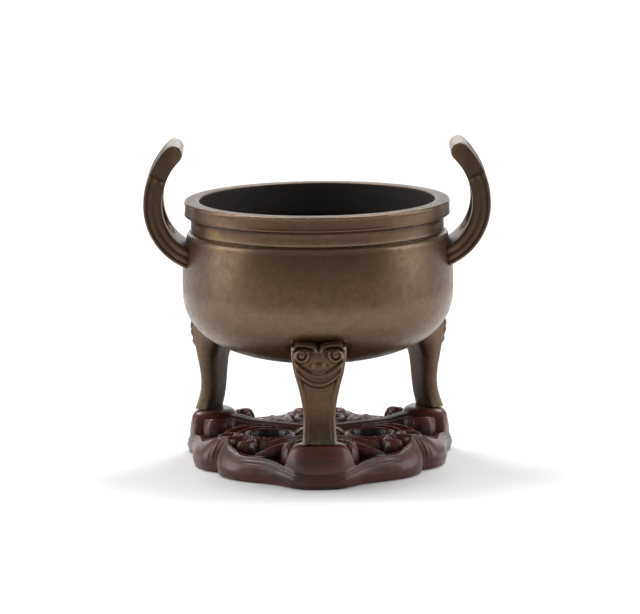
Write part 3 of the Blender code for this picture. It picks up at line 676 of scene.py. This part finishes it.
def leg_surface(name, leg, bowl, azimuth):
    """One leg: level sections from the foot to inside the bowl's wall. A section is a crowned
    front with rounded corners and a half oval behind."""
    levels, half_widths, fronts, backs = np.array(LEG_STATIONS).T
    shaft = 0.0310
    height = np.concatenate([np.linspace(0.0, shaft, 38), np.linspace(shaft, leg.height, 86)[1:]])
    level = height / leg.height
    half = leg.half_width * smooth_curve(levels, half_widths, level)[:, None]
    front = bowl.belly_radius + smooth_curve(levels, fronts, level)[:, None]
    back = bowl.belly_radius + smooth_curve(levels, backs, level)[:, None]
    height = height[:, None]
    corner = 0.0016
    share = np.linspace(-1.0, 1.0, 69)[None, :]
    crown = 0.0008 + 0.0022 * smooth_step(0.5, 0.85, level[:, None])
    across = share * (half - corner)
    outward_front = front - crown * share**2 + leg_relief(leg, across, height, half)
    wall = belly_radius(bowl, height) - 0.0010
    over = np.clip((height - brow_height(leg, across)) / leg.brow_round + 1.0, 0.0, 1.0)
    outward_front = wall + (outward_front - wall) * np.sqrt(1.0 - over**2)
    t = np.radians(np.linspace(0.0, 90.0, 6))[None, 1:]
    shoulder = np.minimum(outward_front[:, -1:], front - crown)
    corner_across = half - corner + corner * np.sin(t)
    corner_out = shoulder - corner * (1.0 - np.cos(t))
    b = np.radians(np.linspace(0.0, 180.0, 34))[None, 1:-1]
    side_top = shoulder - corner
    depth = np.maximum(side_top - back, 0.001)
    back_across = half * np.sign(np.cos(b)) * np.abs(np.cos(b)) ** 0.45
    back_out = side_top - depth * np.sin(b) ** 0.45
    across = np.concatenate([across, corner_across, back_across, -corner_across[:, ::-1]], axis=1)
    out = np.concatenate([outward_front, corner_out, back_out, corner_out[:, ::-1]], axis=1)
    top_out = np.minimum(out[-1:], bowl.belly_radius - 2 * bowl.wall)
    across = np.concatenate([across, across[-1:]])
    out = np.concatenate([out, top_out])
    height = np.concatenate([height, height[-1:] + bowl.wall])
    turn = math.radians(azimuth)
    x = math.cos(turn) * out - math.sin(turn) * across
    y = math.sin(turn) * out + math.cos(turn) * across
    z = np.repeat(height + bowl.foot_plane, out.shape[1], axis=1)
    return closed_surface(name, np.stack([x, y, z], axis=-1))


def blend(first, second, reach=0.0012):
    """The higher of two heights, with a fillet where they meet: the larger one plus a quarter of
    the reach times the squared closeness."""
    close = np.clip(1.0 - np.abs(first - second) / reach, 0.0, 1.0)
    return np.maximum(first, second) + 0.25 * reach * close * close


def path_place(points, path):
    """For each place the nearest station of a path: its index, the distance and the signed
    distance to the path's left."""
    away = points[:, None, :] - path[None, :, :]
    index = np.argmin((away**2).sum(axis=2), axis=1)
    along = np.gradient(path, axis=0)
    along /= np.linalg.norm(along, axis=1)[:, None]
    near = away[np.arange(len(points)), index]
    left = near[:, 1] * along[index, 0] - near[:, 0] * along[index, 1]
    return index, np.linalg.norm(near, axis=1), left


def through(points, stations):
    """A smooth path through a few places, each given by across, along and height in metres."""
    points = np.array(points)
    share = np.linspace(0.0, 1.0, len(points))
    at = np.linspace(0.0, 1.0, stations)
    return np.stack([smooth_curve(share, points[:, k], at) for k in range(points.shape[1])], axis=1)


def leaf_height(places, low, points, half_width):
    """A carved leaf: a ridge that follows a path, widest at two fifths of its length and pointed
    at its end, with two flanks that meet in a soft keel between fine grooves."""
    line = through(points, 90)
    index, distance, _ = path_place(places, line[:, :2])
    share = index / (len(line) - 1.0)
    width = half_width * (0.35 + 0.65 * bump(share - 0.4, 0.62))
    n = distance / width
    shape = bump(n, 1.0) ** 0.7 - 0.05 * soft_bump(n - 0.5, 0.16)
    return low + (line[index, 2] - low) * np.where(n < 1.0, shape, 0.0)


def scroll_path(stand, stations):
    """The scroll's middle line: a spiral that leaves the fascia's edge, passes the valley between
    two lobes and curls round its bud."""
    share = np.linspace(0.0, 1.0, stations)
    turn = np.radians(-30.0 + 400.0 * share)
    bend = stand.scroll_outer + (stand.scroll_inner - stand.scroll_outer) * share**0.9
    bend = bend + 0.008 * np.clip(1.0 - share / 0.11, 0.0, 1.0) ** 2
    middle = scroll_centre(stand)
    return middle + bend[:, None] * np.stack([np.sin(turn), np.cos(turn)], axis=1), share


def scroll_band(stand, places, low):
    """The scroll's band: broad and gently crowned, with a double groove along its outer edge. It
    rises out of the fascia and narrows as it curls in."""
    path, share = scroll_path(stand, 240)
    index, distance, left = path_place(places, path)
    at = share[index]
    half = stand.scroll_half_width * (1.0 - 0.52 * at)
    n = np.clip(left / half, -1.4, 1.4)
    shape = bump(np.maximum(np.abs(n), distance / half), 1.0) ** 0.5
    grooves = soft_bump(n - 0.56, 0.11) + soft_bump(n - 0.80, 0.10)
    top = 0.0145 + (stand.scroll_height - 0.0145) * smooth_step(0.02, 0.26, at) - 0.002 * at
    top = top - stand.groove_depth * grooves * smooth_step(0.25, 0.40, at)
    return low + (top - low) * np.where(distance < half, shape, 0.0)


def dome(places, low, middle, radius, top):
    """A round bud with a full shape."""
    distance = np.hypot(places[:, 0] - middle[0], places[:, 1] - middle[1])
    return low + (top - low) * bump(distance, radius) ** 0.8


def carved_ground(stand, places):
    """The height of the stand's carved top at places across and along a lobe's middle line: the
    higher of all its forms over the sunk ground, filleted where they meet, and cut flat at the
    seat."""
    low = stand.recess
    size, along = places[:, 0], places[:, 1]
    height = np.full(len(places), low)
    arm_width = stand.arm_half_width * (1.0 + 0.35 * smooth_step(0.040, 0.060, along))
    n = size / arm_width
    ribs = 0.0007 * (soft_bump(n - 0.42, 0.12) + soft_bump(n, 0.09))
    arm_top = stand.arm_height + 0.0020 * smooth_step(0.045, 0.062, along)
    arm = low + (arm_top - low) * bump(n, 1.0) ** 0.8 - ribs
    height = blend(height, np.where(along < stand.pad_middle, arm, low))
    radius = np.hypot(size, along)
    turn = np.degrees(np.arctan2(size, np.maximum(along, 1e-9)))
    petals = 0.0008 * soft_bump((turn % 40.0) - 20.0, 6.0) * smooth_step(0.004, 0.010, radius)
    hub = low + (stand.arm_height + 0.0006 - low) * bump(radius, stand.hub_radius) ** 0.8 - petals
    height = blend(height, hub)
    for half_width, points in LEAVES:
        height = blend(height, leaf_height(places, low, points, half_width), 0.0006)
    opening = np.radians(60.0)
    middle = stand.opening_distance * np.array([math.sin(opening), math.cos(opening)])
    from_opening = np.hypot(size - middle[0], along - middle[1])
    rim_middle = stand.opening_radius + 0.45 * stand.opening_rim
    rim = bump(from_opening - rim_middle, stand.opening_rim) ** 0.8
    height = blend(height, low + (stand.opening_rim_height - low) * rim)
    height = blend(height, scroll_band(stand, places, low), 0.0005)
    height = blend(height, dome(places, low, scroll_centre(stand), 0.0029, 0.0200), 0.0005)
    reach = np.where(along > stand.pad_middle, stand.pad_front, stand.pad_back)
    waist = 0.66 + 0.34 * smooth_step(0.062, 0.080, along)
    fullness = 2.3
    aside = (size / (stand.pad_half_width * waist)) ** fullness
    ahead = (np.abs(along - stand.pad_middle) / reach) ** fullness
    from_middle = np.clip((aside + ahead) ** (1.0 / fullness), 0.0, 1.0)
    pad = low + 1.25 * (stand.height - low) * (1.0 - from_middle**3) ** 0.6
    height = blend(height, pad, 0.0008)
    return -blend(-height, np.full(len(places), -stand.height), 0.0036)


def stand_columns(stand):
    """Radial sections of half a lobe: the moulded fascia from the floor to its crest, then the
    carved top to the middle. Near its crest the top is held under a steep slope, or under a
    rounded bulb where a pad stands. Returns radii and heights, both parts evened out on their
    own, so that the crest lies on one row."""
    off = np.linspace(0.0, 60.0, LOBE_STEPS + 1)
    turns, *columns = np.array(FASCIA).T
    crest, top, foot, swell = (smooth_curve(turns, values, off)[:, None] for values in columns)
    t = np.linspace(0.0, 1.0, 90)[None, :]
    wall = foot + (crest - foot) * t**2.2 + swell * np.sin(math.pi * t**0.85) ** 0.8
    below = (1.0 - t) * top
    valley = crest * np.sin(np.radians(60.0 - off))[:, None] + 0.0 * t
    fading = smooth_step(42.0, 33.0, off)[:, None]
    grooves = fading * (soft_bump(below - 0.0015, 0.0006) + soft_bump(below - 0.0034, 0.0007))
    grooves = grooves + soft_bump(valley - 0.0022, 0.0006) + soft_bump(valley - 0.0040, 0.0006)
    toe = 0.0005 * soft_bump(t * top - 0.0012, 0.0013)
    wall = wall - stand.groove_depth * grooves + toe
    inset = np.linspace(0.0, 1.0, 560)[None, :] ** 1.15
    radius = crest - inset * (crest - 0.0015)
    turn = np.radians(off)[:, None]
    places = np.stack([radius * np.sin(turn), radius * np.cos(turn)], axis=-1).reshape(-1, 2)
    ground = carved_ground(stand, places).reshape(radius.shape)
    inward = crest - radius
    bead_width = 0.0042
    bead = inward / bead_width
    ridge = np.where(bead < 1.0, stand.recess + (top - stand.recess) * bump(bead, 1.0) ** 0.8, 0.0)
    steepness = 3.5
    slope = top + 0.0003 + steepness * inward
    pad_round = 0.0048
    above_pad = stand.height + 0.002
    rise = 1.0 - (1.0 - np.clip(inward / pad_round, 0.0, 1.0)) ** 1.6
    bulb = top + 0.0003 + (above_pad - top) * rise**0.625
    on_pad = smooth_step(25.0, 17.0, off)[:, None]
    climb = slope + (np.where(inward < pad_round, bulb, above_pad) - slope) * on_pad
    ground = np.minimum(blend(ground, ridge, 0.0006), climb)
    ground[:, 0] = top[:, 0]
    wall, wall_height = resample(wall, t * top, WALL_ROWS, 1.0)
    radius, height = resample(radius, ground, TOP_ROWS, 1.7)
    radius = np.concatenate([wall[:, :-1], radius], axis=1)
    height = np.concatenate([wall_height[:, :-1], height], axis=1)
    return radius, height


def resample(radius, height, rows, outer_weight):
    """Evens out each section's points along its length, closer together near the fascia."""
    step = np.hypot(np.diff(radius, axis=1), np.diff(height, axis=1))
    weight = 1.0 + (outer_weight - 1.0) * smooth_step(0.055, 0.068, radius[:, 1:])
    run = np.concatenate([np.zeros((len(radius), 1)), np.cumsum(step * weight, axis=1)], axis=1)
    run = run / run[:, -1:]
    shift = 2.0 * np.arange(len(run))[:, None]
    wanted = (np.linspace(0.0, 1.0, rows)[None, :] + shift).ravel()
    flat = (run + shift).ravel()
    new_radius = np.interp(wanted, flat, radius.ravel()).reshape(-1, rows)
    new_height = np.interp(wanted, flat, height.ravel()).reshape(-1, rows)
    return new_radius, new_height


def stand_body(stand):
    """The carved stand before its openings: the sections of half a lobe, mirrored and repeated
    round the middle."""
    radius, height = stand_columns(stand)
    place = np.arange(2 * LEGS * LOBE_STEPS)
    part = place % (2 * LOBE_STEPS)
    column = np.where(part <= LOBE_STEPS, part, 2 * LOBE_STEPS - part)
    turn = np.radians(-90.0 + 360.0 * place / len(place))[:, None]
    radius, height = radius[column], height[column]
    grid = np.stack([radius * np.cos(turn), radius * np.sin(turn), height], axis=-1)
    return closed_surface("stand_body", grid.transpose(1, 0, 2))


def scroll_centre(stand):
    """The middle of a scroll, across and along the lobe's middle line."""
    turn = math.radians(stand.scroll_angle)
    return np.array([stand.scroll_radius * math.sin(turn), stand.scroll_radius * math.cos(turn)])


def opening_cutter(name, stand, lobe):
    """The cutter of an opening: a round shaft between two lobes, from below the floor to above
    the seats."""
    levels = np.array([[-0.01], [0.5 * stand.height], [2 * stand.height]])
    turn = math.radians(-30.0 + 360.0 / LEGS * lobe)
    around = np.linspace(0.0, math.tau, 72, endpoint=False)
    x = stand.opening_distance * math.cos(turn) + stand.opening_radius * np.cos(around)
    y = stand.opening_distance * math.sin(turn) + stand.opening_radius * np.sin(around)
    grid = np.stack(np.broadcast_arrays(x, y, levels), axis=-1)
    return closed_surface(name, grid)


class Nodes:
    """Short calls for building one node tree."""

    def __init__(self, tree):
        self.tree = tree

    def add(self, kind, values=None, **settings):
        """A node of a kind, with its settings and its unlinked sockets' values."""
        node = self.tree.nodes.new(kind)
        for key, value in settings.items():
            setattr(node, key, value)
        for key, value in (values or {}).items():
            self.put(node.inputs[key], value)
        return node

    def put(self, socket, value):
        """Links a socket or sets a plain value."""
        if isinstance(value, bpy.types.NodeSocket):
            self.tree.links.new(value, socket)
        else:
            socket.default_value = value

    def noise(self, vector, scale, detail=4.0, roughness=0.5, distortion=0.0):
        """Noise over a position, 0 to 1."""
        values = {
            "Vector": vector,
            "Scale": scale,
            "Detail": detail,
            "Roughness": roughness,
            "Distortion": distortion,
        }
        return self.add("ShaderNodeTexNoise", values).outputs["Fac"]

    def ramp(self, value, low, high, to_low=0.0, to_high=1.0):
        """A smooth change from one value to another between two limits."""
        node = self.add("ShaderNodeMapRange", interpolation_type="SMOOTHSTEP")
        keys = ("Value", "From Min", "From Max", "To Min", "To Max")
        for key, given in zip(keys, (value, low, high, to_low, to_high)):
            self.put(node.inputs[key], given)
        return node.outputs["Result"]

    def mix(self, share, first, second):
        """A mix of two colours."""
        node = self.add("ShaderNodeMix", data_type="RGBA")
        self.put(node.inputs[0], share)
        self.put(node.inputs[6], first)
        self.put(node.inputs[7], second)
        return node.outputs[2]

    def times(self, first, second):
        """A product of two values."""
        return self.math("MULTIPLY", first, second)

    def math(self, operation, first, second=0.0, clamp=False):
        """One of the plain operations on two values."""
        node = self.add("ShaderNodeMath", operation=operation, use_clamp=clamp)
        self.put(node.inputs[0], first)
        self.put(node.inputs[1], second)
        return node.outputs[0]


def rgba(value, strength=1.0):
    """A colour as four numbers, made lighter or darker."""
    return tuple(min(c * strength, 1.0) for c in value) + (1.0,)


def wear_group():
    """Edge wear and dirt from the relief attribute: Worn is high on ridges, Dirty in hollows,
    both broken up by fine noise."""
    tree = bpy.data.node_groups.new("Handling wear", "ShaderNodeTree")
    kind = "NodeSocketFloat"
    for name, default in (
        ("Wear start", 0.62),
        ("Wear end", 0.9),
        ("Dirt start", 0.40),
        ("Dirt end", 0.12),
        ("Break up", 0.25),
        ("Break scale", 260.0),
    ):
        socket = tree.interface.new_socket(name, in_out="INPUT", socket_type=kind)
        socket.default_value = default
    for name in ("Worn", "Dirty"):
        tree.interface.new_socket(name, in_out="OUTPUT", socket_type=kind)
    nodes = Nodes(tree)
    given = tree.nodes.new("NodeGroupInput").outputs
    result = tree.nodes.new("NodeGroupOutput").inputs
    place = nodes.add("ShaderNodeTexCoord").outputs["Object"]
    relief = nodes.add("ShaderNodeAttribute", attribute_name="relief").outputs["Fac"]
    fine = nodes.noise(place, given["Break scale"], 5.0, 0.6)
    shift = nodes.times(nodes.math("SUBTRACT", fine, 0.5), given["Break up"])
    moved = nodes.math("ADD", relief, shift)
    tree.links.new(nodes.ramp(moved, given["Wear start"], given["Wear end"]), result["Worn"])
    tree.links.new(nodes.ramp(moved, given["Dirt start"], given["Dirt end"]), result["Dirty"])
    return tree


def new_material(name):
    """An empty material with a Principled shader, and the helper for its tree."""
    made = bpy.data.materials.new(name)
    made.use_nodes = True
    return made, Nodes(made.node_tree), made.node_tree.nodes["Principled BSDF"]


def bronze_material(colours, bowl, wear):
    """Patinated bronze: satin brown with olive and reddish patches, rubbed warmer on the neck and
    lighter on the edges, faintly green at the feet, darkened by painted shade at the handles' tips
    and behind the legs, and sooty inside the bowl."""
    made, nodes, shader = new_material("Patinated bronze")
    place = nodes.add("ShaderNodeTexCoord").outputs["Object"]
    split = nodes.add("ShaderNodeSeparateXYZ", {"Vector": place})
    cloud = nodes.noise(place, 16.0, 3.0, 0.55)
    patch = nodes.noise(place, 34.0, 4.0, 0.6, 0.4)
    mottle = nodes.noise(place, 190.0, 6.0, 0.65)
    pores = nodes.noise(place, 1400.0, 3.0, 0.6)
    brown, olive = rgba(colours.bronze_brown), rgba(colours.bronze_olive)
    base = nodes.mix(nodes.ramp(cloud, 0.42, 0.66), brown, olive)
    base = nodes.mix(nodes.ramp(patch, 0.56, 0.74, 0.0, 0.7), base, rgba(colours.bronze_red))
    darker = rgba(colours.bronze_brown, 0.55)
    base = nodes.mix(nodes.ramp(mottle, 0.38, 0.68, 0.0, 0.35), base, darker)
    neck_low = bowl.foot_plane + bowl.shoulder_height - 0.006
    neck_high = bowl.foot_plane + bowl.lip_underside
    band = nodes.math(
        "MULTIPLY",
        nodes.ramp(split.outputs["Z"], neck_low, neck_low + 0.004),
        nodes.ramp(split.outputs["Z"], neck_high, neck_high - 0.004),
    )
    rubbed = nodes.ramp(nodes.noise(place, 27.0, 3.0, 0.55, 0.3), 0.54, 0.70, 0.0, 0.85)
    base = nodes.mix(nodes.times(band, rubbed), base, rgba(colours.bronze_rubbed))
    worn = nodes.add("ShaderNodeGroup", node_tree=wear)
    edges = nodes.times(worn.outputs["Worn"], 0.75)
    base = nodes.mix(edges, base, rgba(colours.bronze_worn))
    low = nodes.ramp(split.outputs["Z"], bowl.foot_plane + 0.012, bowl.foot_plane, 0.0, 0.55)
    bloom = nodes.times(low, nodes.ramp(patch, 0.3, 0.6))
    base = nodes.mix(bloom, base, rgba(colours.bronze_green))
    dirt = nodes.times(worn.outputs["Dirty"], 0.7)
    base = nodes.mix(dirt, base, rgba(colours.bronze_brown, 0.3))
    radius = nodes.add("ShaderNodeVectorMath", operation="LENGTH")
    flat = nodes.add("ShaderNodeCombineXYZ", {"X": split.outputs["X"], "Y": split.outputs["Y"]})
    nodes.put(radius.inputs[0], flat.outputs[0])
    away, height = radius.outputs["Value"], split.outputs["Z"]
    # Painted shade: the handles, more towards their tips, and the legs' backs under the belly are
    # darkened and made rougher.
    on_handles = nodes.ramp(away, bowl.belly_radius + 0.004, bowl.belly_radius + 0.012)
    tips = nodes.ramp(height, bowl.foot_plane + 0.150, bowl.foot_plane + 0.178, 0.45, 0.85)
    on_handles = nodes.times(on_handles, tips)
    under = nodes.ramp(height, bowl.foot_plane + 0.050, bowl.foot_plane + 0.038)
    behind = nodes.ramp(away, bowl.belly_radius - 0.003, bowl.belly_radius - 0.011, 0.0, 0.65)
    painted_shade = nodes.math("MAXIMUM", on_handles, nodes.times(under, behind))
    base = nodes.mix(painted_shade, base, rgba(colours.bronze_brown, 0.32))
    inside = inner_mask(nodes, bowl, away, height)
    base = nodes.mix(inside, base, rgba(colours.bronze_soot))
    nodes.put(shader.inputs["Base Color"], base)
    shine = nodes.ramp(mottle, 0.3, 0.75, 0.33, 0.43)
    shine = nodes.math("SUBTRACT", shine, nodes.times(worn.outputs["Worn"], 0.10))
    shine = nodes.math("ADD", shine, nodes.times(painted_shade, 0.20))
    nodes.put(shader.inputs["Roughness"], nodes.math("ADD", shine, nodes.times(inside, 0.35), True))
    nodes.put(shader.inputs["Metallic"], nodes.ramp(inside, 0.0, 1.0, 0.62, 0.0))
    shader.inputs["Specular IOR Level"].default_value = 0.5
    grain = nodes.math("ADD", nodes.times(pores, 0.35), nodes.times(mottle, 0.65))
    relief = nodes.add("ShaderNodeBump", {"Strength": 0.12, "Distance": 0.0006, "Height": grain})
    nodes.put(shader.inputs["Normal"], relief.outputs["Normal"])
    return made


def inner_mask(nodes, bowl, radius, height):
    """1 inside the bowl below the rim's top: within 3 mm more than the mouth's radius above the
    shoulder, and below it within the belly's ovals, drawn in by half the wall."""
    top = bowl.foot_plane + bowl.rim_height
    below_rim = nodes.ramp(height, top - 0.0002, top - 0.0012)
    in_mouth = nodes.ramp(radius, bowl.mouth_radius + 0.0035, bowl.mouth_radius + 0.0030)
    middle = bowl.foot_plane + bowl.belly_height

    def share(distance, reach):
        inside = nodes.math("DIVIDE", distance, reach - bowl.wall / 2)
        return nodes.math("POWER", inside, bowl.belly_power)

    across = share(radius, bowl.belly_radius)
    drop = nodes.math("MAXIMUM", nodes.math("SUBTRACT", middle, height), 0.0)
    down = share(drop, bowl.belly_depth)
    rise = nodes.math("MAXIMUM", nodes.math("SUBTRACT", height, middle), 0.0)
    up = share(rise, bowl.belly_rise)
    both = nodes.math("ADD", down, up)
    in_oval = nodes.math("LESS_THAN", nodes.math("ADD", across, both), 1.0)
    under = nodes.math("LESS_THAN", height, bowl.foot_plane + bowl.shoulder_height - bowl.wall)
    in_neck = nodes.math("SUBTRACT", 1.0, under)
    either = nodes.math("ADD", nodes.times(in_mouth, in_neck), nodes.times(in_oval, under))
    return nodes.times(either, below_rim)


def wood_material(colours, wear):
    """Polished hardwood: dark red-brown with fine grain along the stand, dirt in the fine hollows,
    painted shade in the sunk ground and the openings, and a clear waxed coat."""
    made, nodes, shader = new_material("Polished hardwood")
    place = nodes.add("ShaderNodeTexCoord").outputs["Object"]
    stretched = nodes.add("ShaderNodeMapping", {"Vector": place, "Scale": (0.16, 1.0, 1.0)})
    rings = nodes.noise(stretched.outputs["Vector"], 150.0, 5.0, 0.6, 0.6)
    fibres = nodes.noise(stretched.outputs["Vector"], 900.0, 3.0, 0.6)
    cloud = nodes.noise(place, 30.0, 3.0, 0.5)
    dark, red = rgba(colours.wood_dark, 1.6), rgba(colours.wood_red)
    base = nodes.mix(nodes.ramp(rings, 0.35, 0.7), dark, red)
    base = nodes.mix(nodes.ramp(cloud, 0.35, 0.75, 0.0, 0.6), base, rgba(colours.wood_red, 1.35))
    base = nodes.mix(nodes.ramp(fibres, 0.5, 0.75, 0.0, 0.4), base, rgba(colours.wood_dark))
    worn = nodes.add("ShaderNodeGroup", {"Wear start": 0.6, "Wear end": 1.0}, node_tree=wear)
    base = nodes.mix(nodes.times(worn.outputs["Dirty"], 0.9), base, rgba(colours.wood_dark, 0.6))
    base = nodes.mix(nodes.times(worn.outputs["Worn"], 0.45), base, rgba(colours.wood_red, 1.8))
    # Painted shade: the sunk ground and the openings' walls are darkened nearly to black.
    hollow = nodes.add("ShaderNodeAttribute", attribute_name="hollow").outputs["Fac"]
    base = nodes.mix(nodes.times(hollow, 0.88), base, rgba(colours.wood_dark, 0.35))
    nodes.put(shader.inputs["Base Color"], base)
    dull = nodes.ramp(cloud, 0.3, 0.7, 0.30, 0.41)
    rough = nodes.math("ADD", dull, nodes.times(worn.outputs["Dirty"], 0.25), True)
    nodes.put(shader.inputs["Roughness"], rough)
    shader.inputs["Specular IOR Level"].default_value = 0.4
    shader.inputs["Coat Weight"].default_value = 0.15
    shader.inputs["Coat Roughness"].default_value = 0.2
    relief = nodes.add("ShaderNodeBump", {"Strength": 0.10, "Distance": 0.0003, "Height": fibres})
    nodes.put(shader.inputs["Normal"], relief.outputs["Normal"])
    return made


def floor_material(colours):
    """White paper."""
    made, nodes, shader = new_material("White paper")
    place = nodes.add("ShaderNodeTexCoord").outputs["Object"]
    fibres = nodes.noise(place, 800.0, 3.0, 0.6)
    white, grey = rgba(colours.floor_white), rgba(colours.floor_white, 0.9)
    tone = nodes.mix(nodes.ramp(fibres, 0.3, 0.7, 0.0, 0.03), white, grey)
    nodes.put(shader.inputs["Base Color"], tone)
    shader.inputs["Roughness"].default_value = 0.9
    shader.inputs["Specular IOR Level"].default_value = 0.1
    return made


class CENSER_OT_materials(bpy.types.Operator):
    """Makes the shared wear group"""

    bl_idname = "censer.materials"
    bl_label = "Make wear group"

    def execute(self, context):
        wear_group()
        return {"FINISHED"}


class CENSER_OT_casting(bpy.types.Operator):
    """Builds the bronze casting: bowl, three mask legs and two loop handles"""

    bl_idname = "censer.casting"
    bl_label = "Build the bronze casting"

    def execute(self, context):
        scene = context.scene
        bowl, leg, handle = scene.censer_bowl, scene.censer_leg, scene.censer_handle
        body = turned("casting", bowl_profile(bowl), bowl.foot_plane)
        parts = []
        for i in range(LEGS):
            azimuth = -90.0 + 360.0 / LEGS * i
            parts.append((leg_surface(f"leg_{i + 1}", leg, bowl, azimuth), "UNION"))
        for side in (-1, 1):
            band = handle_band(f"band_{side}", handle, bowl, side)
            hole = handle_opening(f"hole_{side}", handle, bowl, side)
            parts.append((fuse(f"loop_{side}", band, [(hole, "DIFFERENCE")]), "UNION"))
        hollow = turned("hollow", hollow_profile(bowl), bowl.foot_plane)
        parts.append((hollow, "DIFFERENCE"))
        made = fuse("bronze_casting", body, parts)
        wear = bpy.data.node_groups["Handling wear"]
        bronze = bronze_material(scene.censer_finish, bowl, wear)
        finish_piece(made, bronze, "censer", sharp=50.0, reach=0.0003)
        return {"FINISHED"}


class CENSER_OT_stand(bpy.types.Operator):
    """Builds the carved stand: fascia, pads, arms, leaves, scrolls and openings"""

    bl_idname = "censer.stand"
    bl_label = "Build the carved stand"

    def execute(self, context):
        scene = context.scene
        stand = scene.censer_stand
        parts = []
        for lobe in range(LEGS):
            parts.append((opening_cutter(f"opening_{lobe + 1}", stand, lobe), "DIFFERENCE"))
        made = fuse("carved_stand", stand_body(stand), parts)
        mark_recess_shade(made.data, stand)
        wear = bpy.data.node_groups["Handling wear"]
        wood = wood_material(scene.censer_finish, wear)
        finish_piece(made, wood, "stand", sharp=60.0, reach=0.0006)
        return {"FINISHED"}


def lamp(name, kind, place, power, **settings):
    """A light of a kind that looks at the middle of the piece."""
    data = bpy.data.lights.new(name, kind)
    data.energy = power
    for key, value in settings.items():
        setattr(data, key, value)
    obj = bpy.data.objects.new(name, data)
    obj.matrix_world = Matrix.Translation(place) @ facing(np.array(place) - np.array(AIM))
    bpy.context.scene.collection.objects.link(obj)


def facing(way):
    """A turn that looks back along a direction, upright."""
    way = way / np.linalg.norm(way)
    right = np.cross(UP, way)
    right /= np.linalg.norm(right)
    return Matrix(np.stack([right, np.cross(way, right), way], axis=1).tolist()).to_4x4()


def studio_world():
    """White paper behind the piece and a darker room in front of it: the light from a direction
    falls off smoothly from the back to the side of the camera, with a faint glow from above, and
    the paper itself is plain white to the eye."""
    world = bpy.data.worlds.new("White studio")
    world.use_nodes = True
    nodes = Nodes(world.node_tree)
    way = nodes.add("ShaderNodeTexCoord").outputs["Generated"]
    split = nodes.add("ShaderNodeSeparateXYZ", {"Vector": way})
    side = nodes.ramp(split.outputs["Y"], -0.92, -0.10, 0.03, 0.52)
    ceiling = nodes.ramp(split.outputs["Z"], 0.02, 0.32, 0.0, 0.30)
    seen = nodes.add("ShaderNodeLightPath").outputs["Is Camera Ray"]
    around = nodes.math("MAXIMUM", side, ceiling)
    light = nodes.math("MAXIMUM", around, seen)
    background = world.node_tree.nodes["Background"]
    background.inputs["Color"].default_value = (1.0, 1.0, 1.0, 1.0)
    nodes.put(background.inputs["Strength"], light)
    return world


class CENSER_OT_stage(bpy.types.Operator):
    """Sets the white floor, the soft light and the camera"""

    bl_idname = "censer.stage"
    bl_label = "Set the stage"

    def execute(self, context):
        scene = context.scene
        half = FLOOR_HALF
        floor = bpy.data.meshes.new("floor")
        corners = [(-half, -half, 0), (half, -half, 0), (half, half, 0), (-half, half, 0)]
        floor.from_pydata(corners, [], [(0, 1, 2, 3)])
        floor.materials.append(floor_material(scene.censer_finish))
        floor = bpy.data.objects.new("floor", floor)
        scene.collection.objects.link(floor)
        scene.world = studio_world()
        soft = {"angle": math.radians(WINDOW_ANGLE)}
        lamp("left_window", "SUN", (-0.70, 0.70, 1.9), 1.85, **soft)
        lamp("right_window", "SUN", (0.58, 0.70, 1.9), 1.75, **soft)
        tall = {"shape": "RECTANGLE", "size": 0.7, "size_y": 1.0}
        wide = {"shape": "RECTANGLE", "size": 2.6, "size_y": 0.6}
        lamp("left_panel", "AREA", (-1.2, -0.1, 0.4), 7.5, **tall)
        lamp("right_panel", "AREA", (1.2, -0.1, 0.4), 6.5, **tall)
        lamp("back_panel", "AREA", (0.0, 2.2, 0.55), 6.0, **wide)
        data = bpy.data.cameras.new("camera")
        data.sensor_fit = "HORIZONTAL"
        data.sensor_width = 36.0
        data.lens = CAMERA_LENS
        data.clip_end = 30.0
        camera = bpy.data.objects.new("camera", data)
        x, y, z = CAMERA_PLACE
        place = Matrix.Translation((x, y, z + scene.censer_bowl.foot_plane))
        pitch = Matrix.Rotation(math.radians(90.0 - CAMERA_DOWN), 4, "X")
        roll = Matrix.Rotation(math.radians(CAMERA_ROLL), 4, "Z")
        camera.matrix_world = place @ pitch @ roll
        scene.collection.objects.link(camera)
        scene.camera = camera
        scene.view_settings.view_transform = "Standard"
        return {"FINISHED"}


class CENSER_PT_panel(bpy.types.Panel):
    """Lists the censer's build steps and sizes"""

    bl_label = "Censer"
    bl_idname = "CENSER_PT_panel"
    bl_space_type = "VIEW_3D"
    bl_region_type = "UI"
    bl_category = "Censer"

    def draw(self, context):
        layout = self.layout
        for operator in OPERATORS:
            layout.operator(operator.bl_idname)
        for name in GROUPS:
            group = getattr(context.scene, name)
            box = layout.box()
            for key in type(group).__annotations__:
                box.prop(group, key)


OPERATORS = (CENSER_OT_materials, CENSER_OT_casting, CENSER_OT_stand, CENSER_OT_stage)
GROUPS = {
    "censer_bowl": BowlSizes,
    "censer_handle": HandleSizes,
    "censer_leg": LegSizes,
    "censer_stand": StandSizes,
    "censer_finish": Finishes,
}


def register():
    """Registers the classes and puts the sizes on the scene."""
    for name, group in GROUPS.items():
        bpy.utils.register_class(group)
        setattr(bpy.types.Scene, name, PointerProperty(type=group))
    for operator in OPERATORS:
        bpy.utils.register_class(operator)
    bpy.utils.register_class(CENSER_PT_panel)


def unregister():
    """Takes the classes and the sizes away again."""
    bpy.utils.unregister_class(CENSER_PT_panel)
    for operator in reversed(OPERATORS):
        bpy.utils.unregister_class(operator)
    for name, group in reversed(GROUPS.items()):
        delattr(bpy.types.Scene, name)
        bpy.utils.unregister_class(group)


def main():
    """Builds every piece in order."""
    register()
    bpy.ops.censer.materials()
    bpy.ops.censer.casting()
    bpy.ops.censer.stand()
    bpy.ops.censer.stage()


if __name__ == "__main__":
    main()
